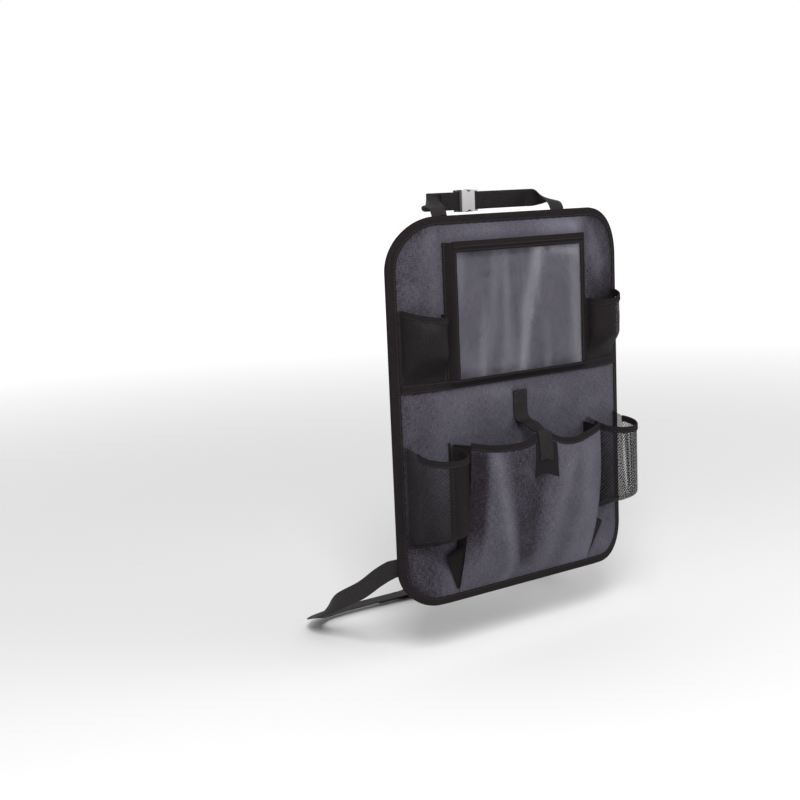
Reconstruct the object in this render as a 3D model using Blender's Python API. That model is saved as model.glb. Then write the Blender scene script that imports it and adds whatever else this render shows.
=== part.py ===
"""Seat-back organizer: a bound fabric panel with a clear tablet pocket, four mesh pockets and a gusseted pocket.

Metres, +Z up. The panel stands upright and its pockets face -Y. The origin lies on the back face, at the panel's middle.
"""

import math

import bmesh
import bpy
from mathutils import Matrix, Vector

# Panel
PANEL_W = 0.420
PANEL_H = 0.535
TOP_R = 0.072
BOTTOM_R = 0.056
SWEEP_W = 0.080
MOUNT_COLUMN = -0.040
SIDE_SWEEP = 0.018
LINING_T = 0.0006
CORE_T = 0.0025
FABRIC_T = 0.0008
GAP = 0.0003
PINCH = 0.0005
PINCH_TOP = 0.057
PINCH_BOTTOM = 0.022

# Binding tape folded over every raw edge
TAPE_T = 0.0008
BINDING_W = 0.012
HEM = 0.003

# Tablet pocket
FRAME_W = 0.260
FRAME_H = 0.1985
FRAME_DROP = 0.036
FRAME_T = 0.0010
WINDOW_W = 0.226
WINDOW_DROP = 0.014
TABLET_ROOM = 0.0095
RAMP_W = 0.011
FILM_T = 0.0005
FILM_OVERLAP = 0.0045
FRAME_BINDING_W = 0.009

# Seam tape that closes the bottoms of the upper pockets
SEAM_TAPE_H = 0.0125

# Mesh pockets
NET_T = 0.0008
ELASTIC_W = 0.009
ELASTIC_T = 0.0010
UPPER_NET_DEPTH = 0.030
UPPER_NET_H = 0.113
UPPER_NET_DIP = 0.010
BOTTLE_FOOT = 0.0865
BOTTLE_H = 0.141
BOTTLE_RISE = 0.028
BOTTLE_DROP = 0.011
LEFT_BOTTLE_R = 0.034
LEFT_BOTTLE_LEAN = -0.006
RIGHT_BOTTLE_R = 0.031
RIGHT_BOTTLE_LEAN = -0.008

# Centre pocket
POCKET_W = 0.242
POCKET_H = 0.215
POCKET_D = 0.047
POCKET_T = 0.0012
GUSSET_T = 0.0010
GUSSET_FLARE = 0.024
FLARE_TOP = 0.26
GUSSET_SPREAD = 0.0015
GUSSET_TUCK = 0.0015
SEAM_ROOM = 0.0008
RIM_ROOM = 0.0019
POCKET_BELLY = 0.006
RIM_LEG = 0.010

# Closing strap of the centre pocket
CLOSURE_W = 0.025
CLOSURE_T = 0.0013
CLOSURE_H = 0.057
CLOSURE_BEND = 0.022
CLOSURE_LAP = 0.040
PATCH_W = 0.038
PATCH_H = 0.052
PATCH_T = 0.0010

# Webbing straps and their buckles
WEB_W = 0.025
WEB_T = 0.0013
SEWN_END = 0.040
TURN_R = 0.0025
TAIL_GAP = 0.0006
TOP_STRAP_Y = 0.058
TOP_STRAP_RISE = 0.0175
TOP_MOUTH_X = -0.045
LEFT_FOOT_X = -0.126
RIGHT_FOOT_X = 0.086
BASE_STRAP_Y = 0.272
BASE_STRAP_DROP = 0.0775
BASE_MOUTH_X = -0.010
BASE_SIDE_OUT = 0.016
BASE_FOOT_RISE = 0.0595
TOP_TAIL = 0.026
BASE_TAIL = 0.060

# Buckle, along its own pull direction from the mouth of the socket
BUCKLE_RIM = 0.003
SOCKET_L = 0.029
SOCKET_T = 0.0086
CAVITY_L = 0.020
CAVITY_T = 0.0052
LATCH_START = 0.0080
LATCH_END = 0.0174
PRONG_T = 0.0046
PRONG_L = 0.0172
FLANGE_T = 0.0074
FLANGE_L = 0.0041
MOUTH_GAP = 0.0004
BAR_L = 0.0036
BAR_T = 0.0030
SLOT_L = 0.0032
SLOT_ROOM = 0.0015

# Faces that the pieces share
LINING_FRONT = -LINING_T
CORE_BACK = LINING_FRONT - GAP
CORE_FRONT = CORE_BACK - CORE_T
FABRIC_BACK = CORE_FRONT - GAP
FACE_Y = FABRIC_BACK - FABRIC_T
BINDING_BACK = GAP + TAPE_T
EDGE_INSET = TAPE_T + GAP
INNER_EDGE = PANEL_W / 2 - BINDING_W
FLAT_HALF = PANEL_W / 2 - SWEEP_W
FRAME_TOP = PANEL_H / 2 - FRAME_DROP
FRAME_BOTTOM = FRAME_TOP - FRAME_H
WINDOW_TOP = FRAME_TOP - WINDOW_DROP
UPPER_NET_TOP = FRAME_BOTTOM + UPPER_NET_H
BOTTLE_BOTTOM = BOTTLE_FOOT - PANEL_H / 2
BOTTLE_TOP = BOTTLE_BOTTOM + BOTTLE_H
POCKET_BOTTOM = BINDING_W + 0.0005 - PANEL_H / 2
POCKET_TOP = POCKET_BOTTOM + POCKET_H
GUSSET_FOOT = POCKET_W / 2 + GUSSET_SPREAD
CLOSURE_TOP = POCKET_TOP + CLOSURE_H
CLOSURE_TURN = POCKET_TOP + CLOSURE_BEND
TOP_STRAP_Z = PANEL_H / 2 + TOP_STRAP_RISE
BASE_STRAP_Z = -PANEL_H / 2 - BASE_STRAP_DROP
BASE_FOOT_Z = BASE_FOOT_RISE - PANEL_H / 2
BASE_SIDE_X = PANEL_W / 2 + BASE_SIDE_OUT
CAVITY_W = WEB_W
BUCKLE_W = CAVITY_W + 2 * BUCKLE_RIM
SLOT_W = WEB_W + SLOT_ROOM
PLUG_TURN_L = -MOUTH_GAP - FLANGE_L - SLOT_L - 0.0006
SOCKET_TURN_L = CAVITY_L + 0.0022 + SLOT_L + 0.0006

# Colours, linear
GREY_CLOTH = (0.085, 0.078, 0.098)
BLACK_TAPE = (0.012, 0.011, 0.013)
BLACK_CLOTH = (0.016, 0.014, 0.015)
BLACK_NET = (0.014, 0.013, 0.015)
CLEAR_FILM = (0.80, 0.82, 0.84)
BLACK_PLASTIC = (0.010, 0.010, 0.011)
PALE_PLASTIC = (0.52, 0.51, 0.52)
FOAM = (0.60, 0.60, 0.58)


def clear_scene():
    """Start from an empty scene."""
    for item in list(bpy.data.objects):
        bpy.data.objects.remove(item)


def make_material(name, colour, roughness, alpha=1.0):
    material = bpy.data.materials.new(name)
    material.use_nodes = True
    shader = material.node_tree.nodes["Principled BSDF"]
    shader.inputs["Base Color"].default_value = (*colour, 1.0)
    shader.inputs["Roughness"].default_value = roughness
    shader.inputs["Metallic"].default_value = 0.0
    shader.inputs["Alpha"].default_value = alpha
    return material


def add_object(name, bm, material):
    """Turn a bmesh into a named object with one material."""
    bmesh.ops.recalc_face_normals(bm, faces=bm.faces[:])
    mesh = bpy.data.meshes.new(name)
    bm.to_mesh(mesh)
    bm.free()
    mesh.materials.append(material)
    obj = bpy.data.objects.new(name, mesh)
    bpy.context.scene.collection.objects.link(obj)
    return obj


def smooth_step(t):
    t = min(1.0, max(0.0, t))
    return t * t * (3.0 - 2.0 * t)


def spread(low, high, count):
    return [low + (high - low) * i / count for i in range(count + 1)]


def panel_y(x):
    """How far the panel's sides curve back, towards the seat, at a distance x from its middle."""
    beyond = max(0.0, abs(x) - FLAT_HALF) / (PANEL_W / 2 - FLAT_HALF)
    return SIDE_SWEEP * beyond * beyond


def catmull(points, t):
    """Point on the smooth curve through the points, with t running from 0 to 1."""
    count = len(points) - 1
    at = min(count - 1, int(t * count))
    f = t * count - at
    before = points[max(0, at - 1)]
    start, end = points[at], points[at + 1]
    after = points[min(count, at + 2)]
    return 0.5 * (
        2 * start
        + (end - before) * f
        + (2 * before - 5 * start + 4 * end - after) * f * f
        + (3 * start - before - 3 * end + after) * f * f * f
    )


def grid_bmesh(rows, skip=()):
    """A sheet of quads through rows of points. A cell listed in skip is left open."""
    bm = bmesh.new()
    verts = [[bm.verts.new(point) for point in row] for row in rows]
    for i in range(len(rows) - 1):
        for j in range(len(rows[0]) - 1):
            if (i, j) not in skip:
                bm.faces.new((verts[i][j], verts[i][j + 1], verts[i + 1][j + 1], verts[i + 1][j]))
    for vert in [v for v in bm.verts if not v.link_faces]:
        bm.verts.remove(vert)
    return bm


def thick_sheet(name, rows, thickness, material, skip=()):
    """A sheet whose points are its front, with its thickness straight behind it along +Y."""
    bm = grid_bmesh(rows, skip)
    made = bmesh.ops.extrude_face_region(bm, geom=bm.faces[:])
    back = [item for item in made["geom"] if isinstance(item, bmesh.types.BMVert)]
    bmesh.ops.translate(bm, vec=(0.0, thickness, 0.0), verts=back)
    return add_object(name, bm, material)


def sheet_normals(rows):
    """Outward normals at a sheet's points. Each is as long as an even offset needs at a bend."""
    faces = {}
    for i in range(len(rows) - 1):
        for j in range(len(rows[0]) - 1):
            one = rows[i + 1][j + 1] - rows[i][j]
            other = rows[i + 1][j] - rows[i][j + 1]
            faces[i, j] = one.cross(other)
    facing = -1.0 if sum(normal.y for normal in faces.values()) > 0 else 1.0
    normals = []
    for i in range(len(rows)):
        line = []
        for j in range(len(rows[0])):
            near = [faces[cell].normalized() for cell in ((i - 1, j - 1), (i - 1, j), (i, j - 1), (i, j)) if cell in faces]
            mean = sum(near, Vector()).normalized()
            bend = sum(mean.dot(normal) for normal in near) / len(near)
            line.append(mean * facing / max(0.7, bend))
        normals.append(line)
    return normals


def sandwich(name, front_rows, back_rows, material):
    """A closed body between two grids of points of the same shape."""
    bm = bmesh.new()
    outer = [[bm.verts.new(point) for point in row] for row in front_rows]
    inner = [[bm.verts.new(point) for point in row] for row in back_rows]
    high, wide = len(outer) - 1, len(outer[0]) - 1
    for i in range(high):
        for j in range(wide):
            for grid in (outer, inner):
                bm.faces.new((grid[i][j], grid[i][j + 1], grid[i + 1][j + 1], grid[i + 1][j]))
    for i in range(high):
        for j in (0, wide):
            bm.faces.new((outer[i][j], outer[i + 1][j], inner[i + 1][j], inner[i][j]))
    for j in range(wide):
        for i in (0, high):
            bm.faces.new((outer[i][j], outer[i][j + 1], inner[i][j + 1], inner[i][j]))
    return add_object(name, bm, material)


def shell_sheet(name, rows, thickness, material):
    """A curved sheet whose points are its outside, with an even thickness behind it. Returns its normals."""
    normals = sheet_normals(rows)
    inside = [[point - normal * thickness for point, normal in zip(row, line)] for row, line in zip(rows, normals)]
    sandwich(name, rows, inside, material)
    return normals


def swept_body(name, rings, material, caps=None):
    """A solid through rings of points. Caps are the faces of an end, and without them the rings run round and meet."""
    bm = bmesh.new()
    verts = [[bm.verts.new(point) for point in ring] for ring in rings]
    last = len(rings) - 1 if caps else len(rings)
    sides = len(rings[0])
    for i in range(last):
        here, there = verts[i], verts[(i + 1) % len(rings)]
        for j in range(sides):
            k = (j + 1) % sides
            bm.faces.new((here[j], here[k], there[k], there[j]))
    for cap in caps or ():
        bm.faces.new([verts[0][j] for j in cap])
        bm.faces.new([verts[-1][j] for j in reversed(cap)])
    return add_object(name, bm, material)


def panel_columns():
    """Where the panel's outline is sampled from side to side: finely round its corners."""
    half = PANEL_W / 2 - EDGE_INSET
    radius = TOP_R - EDGE_INSET
    corner = [half - radius + radius * math.sin(math.radians(a)) for a in range(0, 91, 10)]
    right = [FLAT_HALF] + corner
    return [-x for x in reversed(right)] + [MOUNT_COLUMN] + right


def outline_z(x, inset, radius):
    """Half the panel's height above or below its middle, at x, for a corner of the given radius."""
    half = PANEL_W / 2 - inset
    corner = radius - inset
    into = max(0.0, abs(x) - (half - corner))
    return PANEL_H / 2 - inset - corner + math.sqrt(max(0.0, corner * corner - into * into))


def panel_layer(name, front, back, front_pinch, back_pinch, material):
    """One layer of the panel, between two faces. A pinch moves a face towards the front along the top and bottom."""
    columns = panel_columns()
    half = PANEL_H / 2
    levels = (None, -(half - PINCH_BOTTOM), half - PINCH_TOP, None)
    sheets = []
    for face, pinch in ((front, front_pinch), (back, back_pinch)):
        rows = []
        for level, edge in zip(levels, (-1, 0, 0, 1)):
            row = []
            for x in columns:
                z = level if level is not None else edge * outline_z(x, EDGE_INSET, TOP_R if edge > 0 else BOTTOM_R)
                z = min(z, outline_z(x, EDGE_INSET, TOP_R) - 0.002) if edge == 0 and z > 0 else z
                z = max(z, 0.002 - outline_z(x, EDGE_INSET, BOTTOM_R)) if edge == 0 and z < 0 else z
                row.append(Vector((x, face + panel_y(x) - (pinch if edge else 0.0), z)))
            rows.append(row)
        sheets.append(rows)
    return sandwich(name, sheets[0], sheets[1], material)


def outline_path():
    """The panel's outline as (x, z, outward x, outward z), once round."""
    path = []
    corners = (
        (1, 1, TOP_R, 90, 0),
        (1, -1, BOTTOM_R, 0, -90),
        (-1, -1, BOTTOM_R, -90, -180),
        (-1, 1, TOP_R, 180, 90),
    )
    for side, up, radius, start, end in corners:
        centre_x = side * (PANEL_W / 2 - radius)
        centre_z = up * (PANEL_H / 2 - radius)
        run = [(x, up * PANEL_H / 2, 0.0, float(up)) for x in spread(side * FLAT_HALF, centre_x, 3)[:-1]]
        if side * up > 0:
            path += run
        for angle in spread(start, end, 9):
            nx, nz = math.cos(math.radians(angle)), math.sin(math.radians(angle))
            path.append((centre_x + radius * nx, centre_z + radius * nz, nx, nz))
        if side * up < 0:
            path += reversed(run)
    return path


def edge_binding(material):
    """Tape folded over the panel's edge, as a U that is swept once round."""
    front_out = FACE_Y - GAP - TAPE_T
    front_in = FACE_Y - GAP
    round_off = TAPE_T
    profile = (
        (BINDING_W, front_out),
        (round_off, front_out),
        (0.0, front_out + 1.5 * round_off),
        (0.0, BINDING_BACK - 1.5 * round_off),
        (round_off, BINDING_BACK),
        (BINDING_W, BINDING_BACK),
        (BINDING_W, GAP),
        (TAPE_T, GAP),
        (TAPE_T, front_in),
        (BINDING_W, front_in),
    )
    rings = []
    for x, z, nx, nz in outline_path():
        ring = []
        for inward, y in profile:
            px = x - nx * inward
            ring.append(Vector((px, y + panel_y(px), z - nz * inward)))
        rings.append(ring)
    return swept_body("edge_binding", rings, material)


def frame_lift(x, z):
    """How far the front of the tablet pocket stands out from its sewn edges."""
    side = smooth_step((FRAME_W / 2 - abs(x)) / RAMP_W)
    foot = smooth_step((z - FRAME_BOTTOM) / (SEAM_TAPE_H - 0.001))
    return TABLET_ROOM * side * foot


def frame_columns():
    """Columns of the right half of the tablet pocket's frame, from the window's side to its sewn edge."""
    ramp = [FRAME_W / 2 - RAMP_W * f for f in (0.0, 0.25, 0.5, 0.75, 1.0)]
    flat = [FLAT_HALF] if WINDOW_W / 2 < FLAT_HALF < FRAME_W / 2 - RAMP_W else []
    return sorted(ramp + flat + [WINDOW_W / 2])


def tablet_pocket(cloth, film, tape):
    front = FACE_Y - GAP - FRAME_T
    right = frame_columns()
    xs = [-x for x in reversed(right)] + right
    window_bottom = FRAME_BOTTOM + SEAM_TAPE_H
    foot = spread(FRAME_BOTTOM, window_bottom, 4)
    zs = foot + [WINDOW_TOP, FRAME_TOP]
    rows = [[Vector((x, front + panel_y(x) - frame_lift(x, z), z)) for x in xs] for z in zs]
    opening = {(len(foot) - 1, len(right) - 1)}
    thick_sheet("tablet_pocket_frame", rows, FRAME_T, cloth, opening)

    film_y = front - TABLET_ROOM + FRAME_T + GAP
    reach = WINDOW_W / 2 + FILM_OVERLAP
    corners = [
        [Vector((x, film_y, z)) for x in (-reach, reach)]
        for z in (window_bottom + GAP, WINDOW_TOP + FILM_OVERLAP)
    ]
    thick_sheet("tablet_pocket_window", corners, FILM_T, film)

    across = [x for x in xs if abs(x) < FRAME_W / 2 - RAMP_W + 1e-6]
    rim = [
        [Vector((x, front + panel_y(x) - TABLET_ROOM, z)) for x in across]
        for z in (FRAME_TOP - 2 * FRAME_BINDING_W, FRAME_TOP)
    ]
    outward = [[Vector((0.0, -1.0, 0.0))] * len(across)] * 2
    rim_binding("tablet_pocket_binding", rim, outward, FRAME_T, FRAME_BINDING_W, TAPE_T, tape)


def rim_binding(name, rows, normals, sheet_t, leg, tape_t, material):
    """Tape folded over a sheet's top row: a U in section, with one leg on each face of the sheet.

    The rows are the sheet's outside and the normals are its outward ones. Only the last two rows count.
    """
    out_in, out_out = GAP, GAP + tape_t
    in_out, in_in = -sheet_t - GAP, -sheet_t - GAP - tape_t
    profile = (
        (leg, out_out),
        (-GAP, out_out),
        (-out_out, out_in),
        (-out_out, in_out),
        (-GAP, in_in),
        (leg, in_in),
        (leg, in_out),
        (-GAP, in_out),
        (-GAP, out_in),
        (leg, out_in),
    )
    rings = []
    for top, below, normal, low_normal in zip(rows[-1], rows[-2], normals[-1], normals[-2]):
        down = (below - top).normalized()
        share = leg / (below - top).length
        at_leg = normal.lerp(low_normal, share)
        rings.append([top + down * along + (at_leg if along == leg else normal) * out for along, out in profile])
    caps = ((0, 1, 8, 9), (1, 2, 8), (2, 3, 7, 8), (3, 4, 7), (4, 5, 6, 7))
    return swept_body(name, rings, material, caps)


def seam_tape(material):
    """Flat tape across the whole panel, over the bottom hems of the upper pockets."""
    front = FACE_Y - 2 * GAP - FRAME_T - TAPE_T
    end = INNER_EDGE - 2 * GAP
    right = frame_columns() + spread(FRAME_W / 2 + RAMP_W, end, 6)
    xs = [-x for x in reversed(right)] + right
    zs = spread(FRAME_BOTTOM, FRAME_BOTTOM + SEAM_TAPE_H, 4)
    rows = [[Vector((x, front + panel_y(x) - frame_lift(x, z), z)) for x in xs] for z in zs]
    return thick_sheet("seam_tape", rows, TAPE_T, material)


def net_rim(name, rows, normals, lift, material):
    """Fold-over elastic on the top row of a net pocket, where the net stands clear of the panel."""
    kept = [j for j, point in enumerate(rows[-1]) if FACE_Y + panel_y(point.x) - point.y > lift]
    first, last = kept[0], kept[-1] + 1
    top_rows = [row[first:last] for row in rows[-2:]]
    top_normals = [line[first:last] for line in normals[-2:]]
    rim_binding(name, top_rows, top_normals, NET_T, ELASTIC_W, ELASTIC_T, material)


def upper_net(name, side, net, elastic):
    """A flat-bottomed mesh pocket beside the tablet pocket. Side is -1 on the left and 1 on the right."""
    outer = INNER_EDGE - 2 * GAP
    inner = FRAME_W / 2 + 0.001
    sewn = FACE_Y - GAP - NET_T
    bottom = FRAME_BOTTOM + 2 * GAP
    lift_off = FRAME_BOTTOM + SEAM_TAPE_H + 0.001
    middle = (outer - HEM + inner + HEM) / 2
    half = (outer - inner) / 2 - HEM
    turns = 12
    across = [outer] + [middle + half * math.cos(math.pi * i / turns) for i in range(turns + 1)] + [inner]
    bulge = [0.0] + [math.sin(math.pi * i / turns) ** 0.8 for i in range(turns + 1)] + [0.0]
    rows = []
    for f in (None, 0.0, 0.06, 0.16, 0.3, 0.5, 0.7, 0.86, 1.0):
        row = []
        for x, b in zip(across, bulge):
            share = (x - inner) / (outer - inner)
            top = UPPER_NET_TOP - UPPER_NET_DIP * (1 - share) - 0.006 * b
            z = bottom if f is None else lift_off + (top - lift_off) * f
            rise = 0.0 if f is None else smooth_step(f / 0.45) * UPPER_NET_DEPTH * b
            row.append(Vector((side * x, sewn + panel_y(x) - rise, z)))
        rows.append(row)
    normals = shell_sheet(name + "_pocket", rows, NET_T, net)
    net_rim(name + "_elastic", rows, normals, 0.004, elastic)


def bottle_plan(radius, half, lean):
    """A pocket seen from above, from one sewn edge round the bottle to the other.

    Each point is its place across the open pocket, its depth, and its place across the flat foot.
    """
    plan = [(-half - HEM, 0.0, -half - HEM), (-half, 0.0, -half)]
    angles = spread(205.0, -25.0, 14)
    for k, angle in enumerate(angles):
        a = math.radians(angle)
        foot = half * (2 * (k + 1) / (len(angles) + 1) - 1)
        plan.append((lean + radius * math.cos(a), radius + 0.002 + radius * math.sin(a), foot))
    return plan + [(half, 0.0, half), (half + HEM, 0.0, half + HEM)]


def bottle_net(name, side, radius, lean, net, elastic):
    """A mesh pocket that holds a bottle upright. Side is -1 on the left and 1 on the right."""
    outer = INNER_EDGE - 2 * GAP
    inner = POCKET_W / 2 + 0.007
    middle = side * (outer + inner) / 2
    half = (outer - inner) / 2 - HEM
    sewn = FACE_Y - GAP - NET_T
    plan = bottle_plan(radius, half, lean)
    deepest = 2 * radius + 0.002
    rows = []
    for height in (0.0, 0.004, 0.008, 0.014, 0.021, 0.030, 0.050, 0.085, 0.115, None):
        row = []
        for across, depth, foot in plan:
            top = BOTTLE_TOP - BOTTLE_DROP * depth / deepest
            z = top if height is None else BOTTLE_BOTTOM + height
            fill = math.sin(math.pi / 2 * min(1.0, max(0.0, z - BOTTLE_BOTTOM - 0.004) / BOTTLE_RISE))
            x = middle + foot + (across - foot) * fill
            row.append(Vector((x, sewn + panel_y(x) * (1 - fill * min(1.0, depth / 0.01)) - depth * fill, z)))
        rows.append(row)
    normals = shell_sheet(name + "_pocket", rows, NET_T, net)
    net_rim(name + "_elastic", rows, normals, 0.006, elastic)


def pocket_rim(u):
    """The free top edge of the centre pocket's front. The closing strap holds its middle in and up.

    The knots are a share of the pocket's half width, how far they stand past its corners, and how high.
    """
    knots = (
        (-0.93, -0.014, -0.001),
        (-0.71, 0.000, -0.006),
        (-0.49, 0.013, -0.006),
        (-0.26, 0.016, -0.003),
        (-0.025, 0.009, 0.004),
        (0.20, 0.018, -0.008),
        (0.43, 0.019, -0.010),
        (0.68, 0.013, -0.006),
        (0.93, 0.002, -0.002),
    )
    points = [Vector((x * POCKET_W / 2, -POCKET_D - out, POCKET_TOP + up)) for x, out, up in knots]
    return catmull(points, u)


def pocket_point(u, v):
    """The outside of the centre pocket's front: u from left to right, v from its sewn foot to its rim."""
    foot = Vector((POCKET_W * (u - 0.5), FACE_Y - GAP - POCKET_T, POCKET_BOTTOM))
    rim = pocket_rim(u)
    x = foot.x + (rim.x - foot.x) * v**1.5
    belly = POCKET_BELLY * math.sin(math.pi * v) * 4 * u * (1 - u)
    out = 1 - (1 - v) ** 2.4
    return Vector((x, foot.y + (rim.y - foot.y) * out - belly, foot.z + (rim.z - foot.z) * v))


def pocket_frame(u, v):
    """The way down and the outward normal of the centre pocket's front at a point."""
    step = 0.01
    down = (pocket_point(u, v - step) - pocket_point(u, v)).normalized()
    low, high = max(0.0, u - step), min(1.0, u + step)
    along = (pocket_point(high, v) - pocket_point(low, v)).normalized()
    normal = along.cross(-down).normalized()
    return down, normal


def gusset_rows(side):
    """The pleated side of the centre pocket, from the panel to the edge of the front. It flares low down."""
    u = 0.0 if side < 0 else 1.0
    hidden = FACE_Y - GAP
    rows = []
    for v in (0.03, 0.06, 0.11, 0.17, 0.23, 0.28, 0.32, 0.37, 0.45, 0.58, 0.72, 0.86, 0.94, 0.985):
        edge = pocket_point(u, v)
        behind = POCKET_T + (RIM_ROOM if v > 0.9 else SEAM_ROOM)
        front = Vector((edge.x - side * GUSSET_TUCK, min(edge.y + behind, hidden - 0.0002), edge.z))
        wall = Vector((side * GUSSET_FOOT, hidden, edge.z))
        flare = GUSSET_FLARE * min(v / FLARE_TOP, 1.0) * (1 - smooth_step((v - FLARE_TOP) / 0.07))
        row = []
        for w in spread(0.0, 1.0, 6):
            point = wall.lerp(front, w)
            point.x += side * (0.001 + flare) * math.sin(math.pi * w)
            row.append(point)
        rows.append(row)
    return rows


def gusset(name, side, material):
    """The gusset's outside, and a copy of it moved inwards by its thickness, joined round the edge."""
    bm = grid_bmesh(gusset_rows(side))
    made = bmesh.ops.extrude_face_region(bm, geom=bm.faces[:])
    inner = [item for item in made["geom"] if isinstance(item, bmesh.types.BMVert)]
    bmesh.ops.translate(bm, vec=(-side * GUSSET_T, 0.0, 0.0), verts=inner)
    return add_object(name, bm, material)


def pocket_share(width):
    """A width on the centre pocket's front as a share of its rim."""
    return width / (pocket_rim(1.0) - pocket_rim(0.0)).length


def pocket_columns():
    """Columns of the centre pocket's front. The closing strap's and the patch's edges each fall on one."""
    strap = pocket_share(CLOSURE_W / 2)
    patch = pocket_share(PATCH_W / 2)
    left = spread(0.0, 0.5 - patch, 9) + [0.5 - strap, 0.5 - strap / 2]
    return left + [0.5] + [1.0 - u for u in reversed(left)]


def centre_pocket(cloth, black, tape):
    leg_share = RIM_LEG / (pocket_point(0.5, 1.0) - pocket_point(0.5, 0.0)).length
    heights = (0.0, 0.02, 0.07, 0.14, 0.22, 0.32, 0.44, 0.57, 0.70, 0.80, 0.89, 1.0 - leg_share, 1.0)
    us = pocket_columns()
    rows = [[pocket_point(u, v) for u in us] for v in heights]
    normals = shell_sheet("centre_pocket_front", rows, POCKET_T, cloth)
    gusset("centre_pocket_left_gusset", -1, black)
    gusset("centre_pocket_right_gusset", 1, black)
    rim_binding("centre_pocket_binding", rows, normals, POCKET_T, RIM_LEG - GAP, TAPE_T, tape)


def ribbon(name, path, width, thickness, material):
    """Flat webbing along a path of (point, width direction)."""
    rings = []
    for i, (point, across) in enumerate(path):
        ahead = path[min(i + 1, len(path) - 1)][0]
        behind = path[max(i - 1, 0)][0]
        along = (ahead - behind).normalized()
        across = (across - along * across.dot(along)).normalized()
        normal = along.cross(across)
        w, t = across * width / 2, normal * thickness / 2
        rings.append([point - w - t, point + w - t, point + w + t, point - w + t])
    return swept_body(name, rings, material, caps=((0, 1, 2, 3),))


def smooth_route(stops, count):
    """Points on the smooth curve through stops of (point, width direction)."""
    points = [Vector(point) for point, _ in stops]
    widths = [Vector(width).normalized() for _, width in stops]
    return [(catmull(points, t), catmull(widths, t)) for t in spread(0.0, 1.0, count)]


def off_front(u, along, out):
    """A point this far down the centre pocket's front from its rim, and this far off its face."""
    v = 1.0 - along / (pocket_point(0.5, 1.0) - pocket_point(0.5, 0.0)).length
    return pocket_point(u, v) + pocket_frame(u, v)[1] * out


def closing_strap(strap_cloth, patch_cloth):
    """The strap that closes the centre pocket, and the patch on the front that it grips."""
    on_panel = FACE_Y - GAP - CLOSURE_T
    over = GAP + PATCH_T + GAP + CLOSURE_T
    share = pocket_share(CLOSURE_W / 2)
    columns = []
    for w in (-1.0, -0.5, 0.0, 0.5, 1.0):
        u = 0.5 + share * w
        x = w * CLOSURE_W / 2
        rim = pocket_point(u, 1.0)
        bend = Vector((0.7 * x + 0.3 * rim.x, rim.y * 0.45 + on_panel * 0.55, 0.5 * (rim.z + CLOSURE_TURN) + 0.001))
        stops = [
            Vector((x, on_panel, CLOSURE_TOP)),
            Vector((x, on_panel, 0.6 * CLOSURE_TOP + 0.4 * CLOSURE_TURN)),
            Vector((x, on_panel, 0.2 * CLOSURE_TOP + 0.8 * CLOSURE_TURN)),
            Vector((x, on_panel - 0.0025, CLOSURE_TURN - 0.003)),
            Vector((x, on_panel - 0.010, CLOSURE_TURN - 0.008)),
            bend,
            Vector((rim.x, rim.y + 0.012, rim.z + 0.0045)),
            rim + Vector((0.0, 0.002, over + 0.0004)),
            rim + Vector((0.0, -0.6 * over, 0.75 * over)),
        ]
        stops += [off_front(u, along, over) for along in (0.0015, 0.006, 0.013, 0.022, 0.031, CLOSURE_LAP)]
        columns.append([catmull(stops, t) for t in spread(0.0, 1.0, 3 * (len(stops) - 1))])
    shell_sheet("closure_strap", [list(row) for row in zip(*columns)], CLOSURE_T, strap_cloth)

    patch = pocket_share(PATCH_W / 2)
    us = [u for u in pocket_columns() if abs(u - 0.5) < patch + 1e-6]
    rows = [[off_front(u, along, GAP + PATCH_T) for u in us] for along in spread(RIM_LEG + 3 * GAP, RIM_LEG + PATCH_H, 6)]
    shell_sheet("closure_patch", rows, PATCH_T, patch_cloth)


def strap(name, sewn, route, turn, pull, out, across, tail, material):
    """A whole strap: its sewn end, its free route, its turn round a buckle's bar, and its tail folded back.

    Turn is the middle of the bend, pull the way to the buckle, and out the side that the strap comes in on.
    """
    turn, pull, out, across = Vector(turn), Vector(pull), Vector(out), Vector(across)
    entry = (0.0120, 0.0085, 0.0040, 0.0)
    path = [(Vector(point), Vector(width)) for point, width in sewn[:-1]]
    route = [sewn[-1]] + route + [(turn - pull * entry[0] + out * TURN_R, across)]
    path += smooth_route(route, 6 * (len(route) - 1))
    for along in entry[1:]:
        path.append((turn - pull * along + out * TURN_R, across))
    for angle in range(30, 180, 30):
        a = math.radians(angle)
        path.append((turn + pull * TURN_R * math.sin(a) + out * TURN_R * math.cos(a), across))
    for along in reversed(entry[1:]):
        path.append((turn - pull * along - out * TURN_R, across))
    start = entry[1]
    laid = TURN_R - WEB_T - TAIL_GAP
    for f in (0.25, 0.45, 1.0):
        rise = smooth_step(f / 0.45)
        path.append((turn - pull * (start + (tail - start) * f) + out * (laid * rise - TURN_R * (1 - rise)), across))
    return ribbon(name, path, WEB_W, WEB_T, material)


def sewn_stops(foot, away, across):
    """The sewn end of a strap: flat on the lining, then over the binding's back leg and off the edge."""
    low = 1.5 * GAP + WEB_T / 2
    high = BINDING_BACK + 1.5 * GAP + WEB_T / 2
    stops = []
    for along in (-SEWN_END, -0.030, -0.020, -0.013, -0.006, 0.0, 0.006, BINDING_W):
        point = Vector(foot) + Vector(away) * (along - BINDING_W)
        y = low if along < -0.01 else high
        stops.append((Vector((point.x, y + panel_y(point.x), point.z)), across))
    return stops


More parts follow.
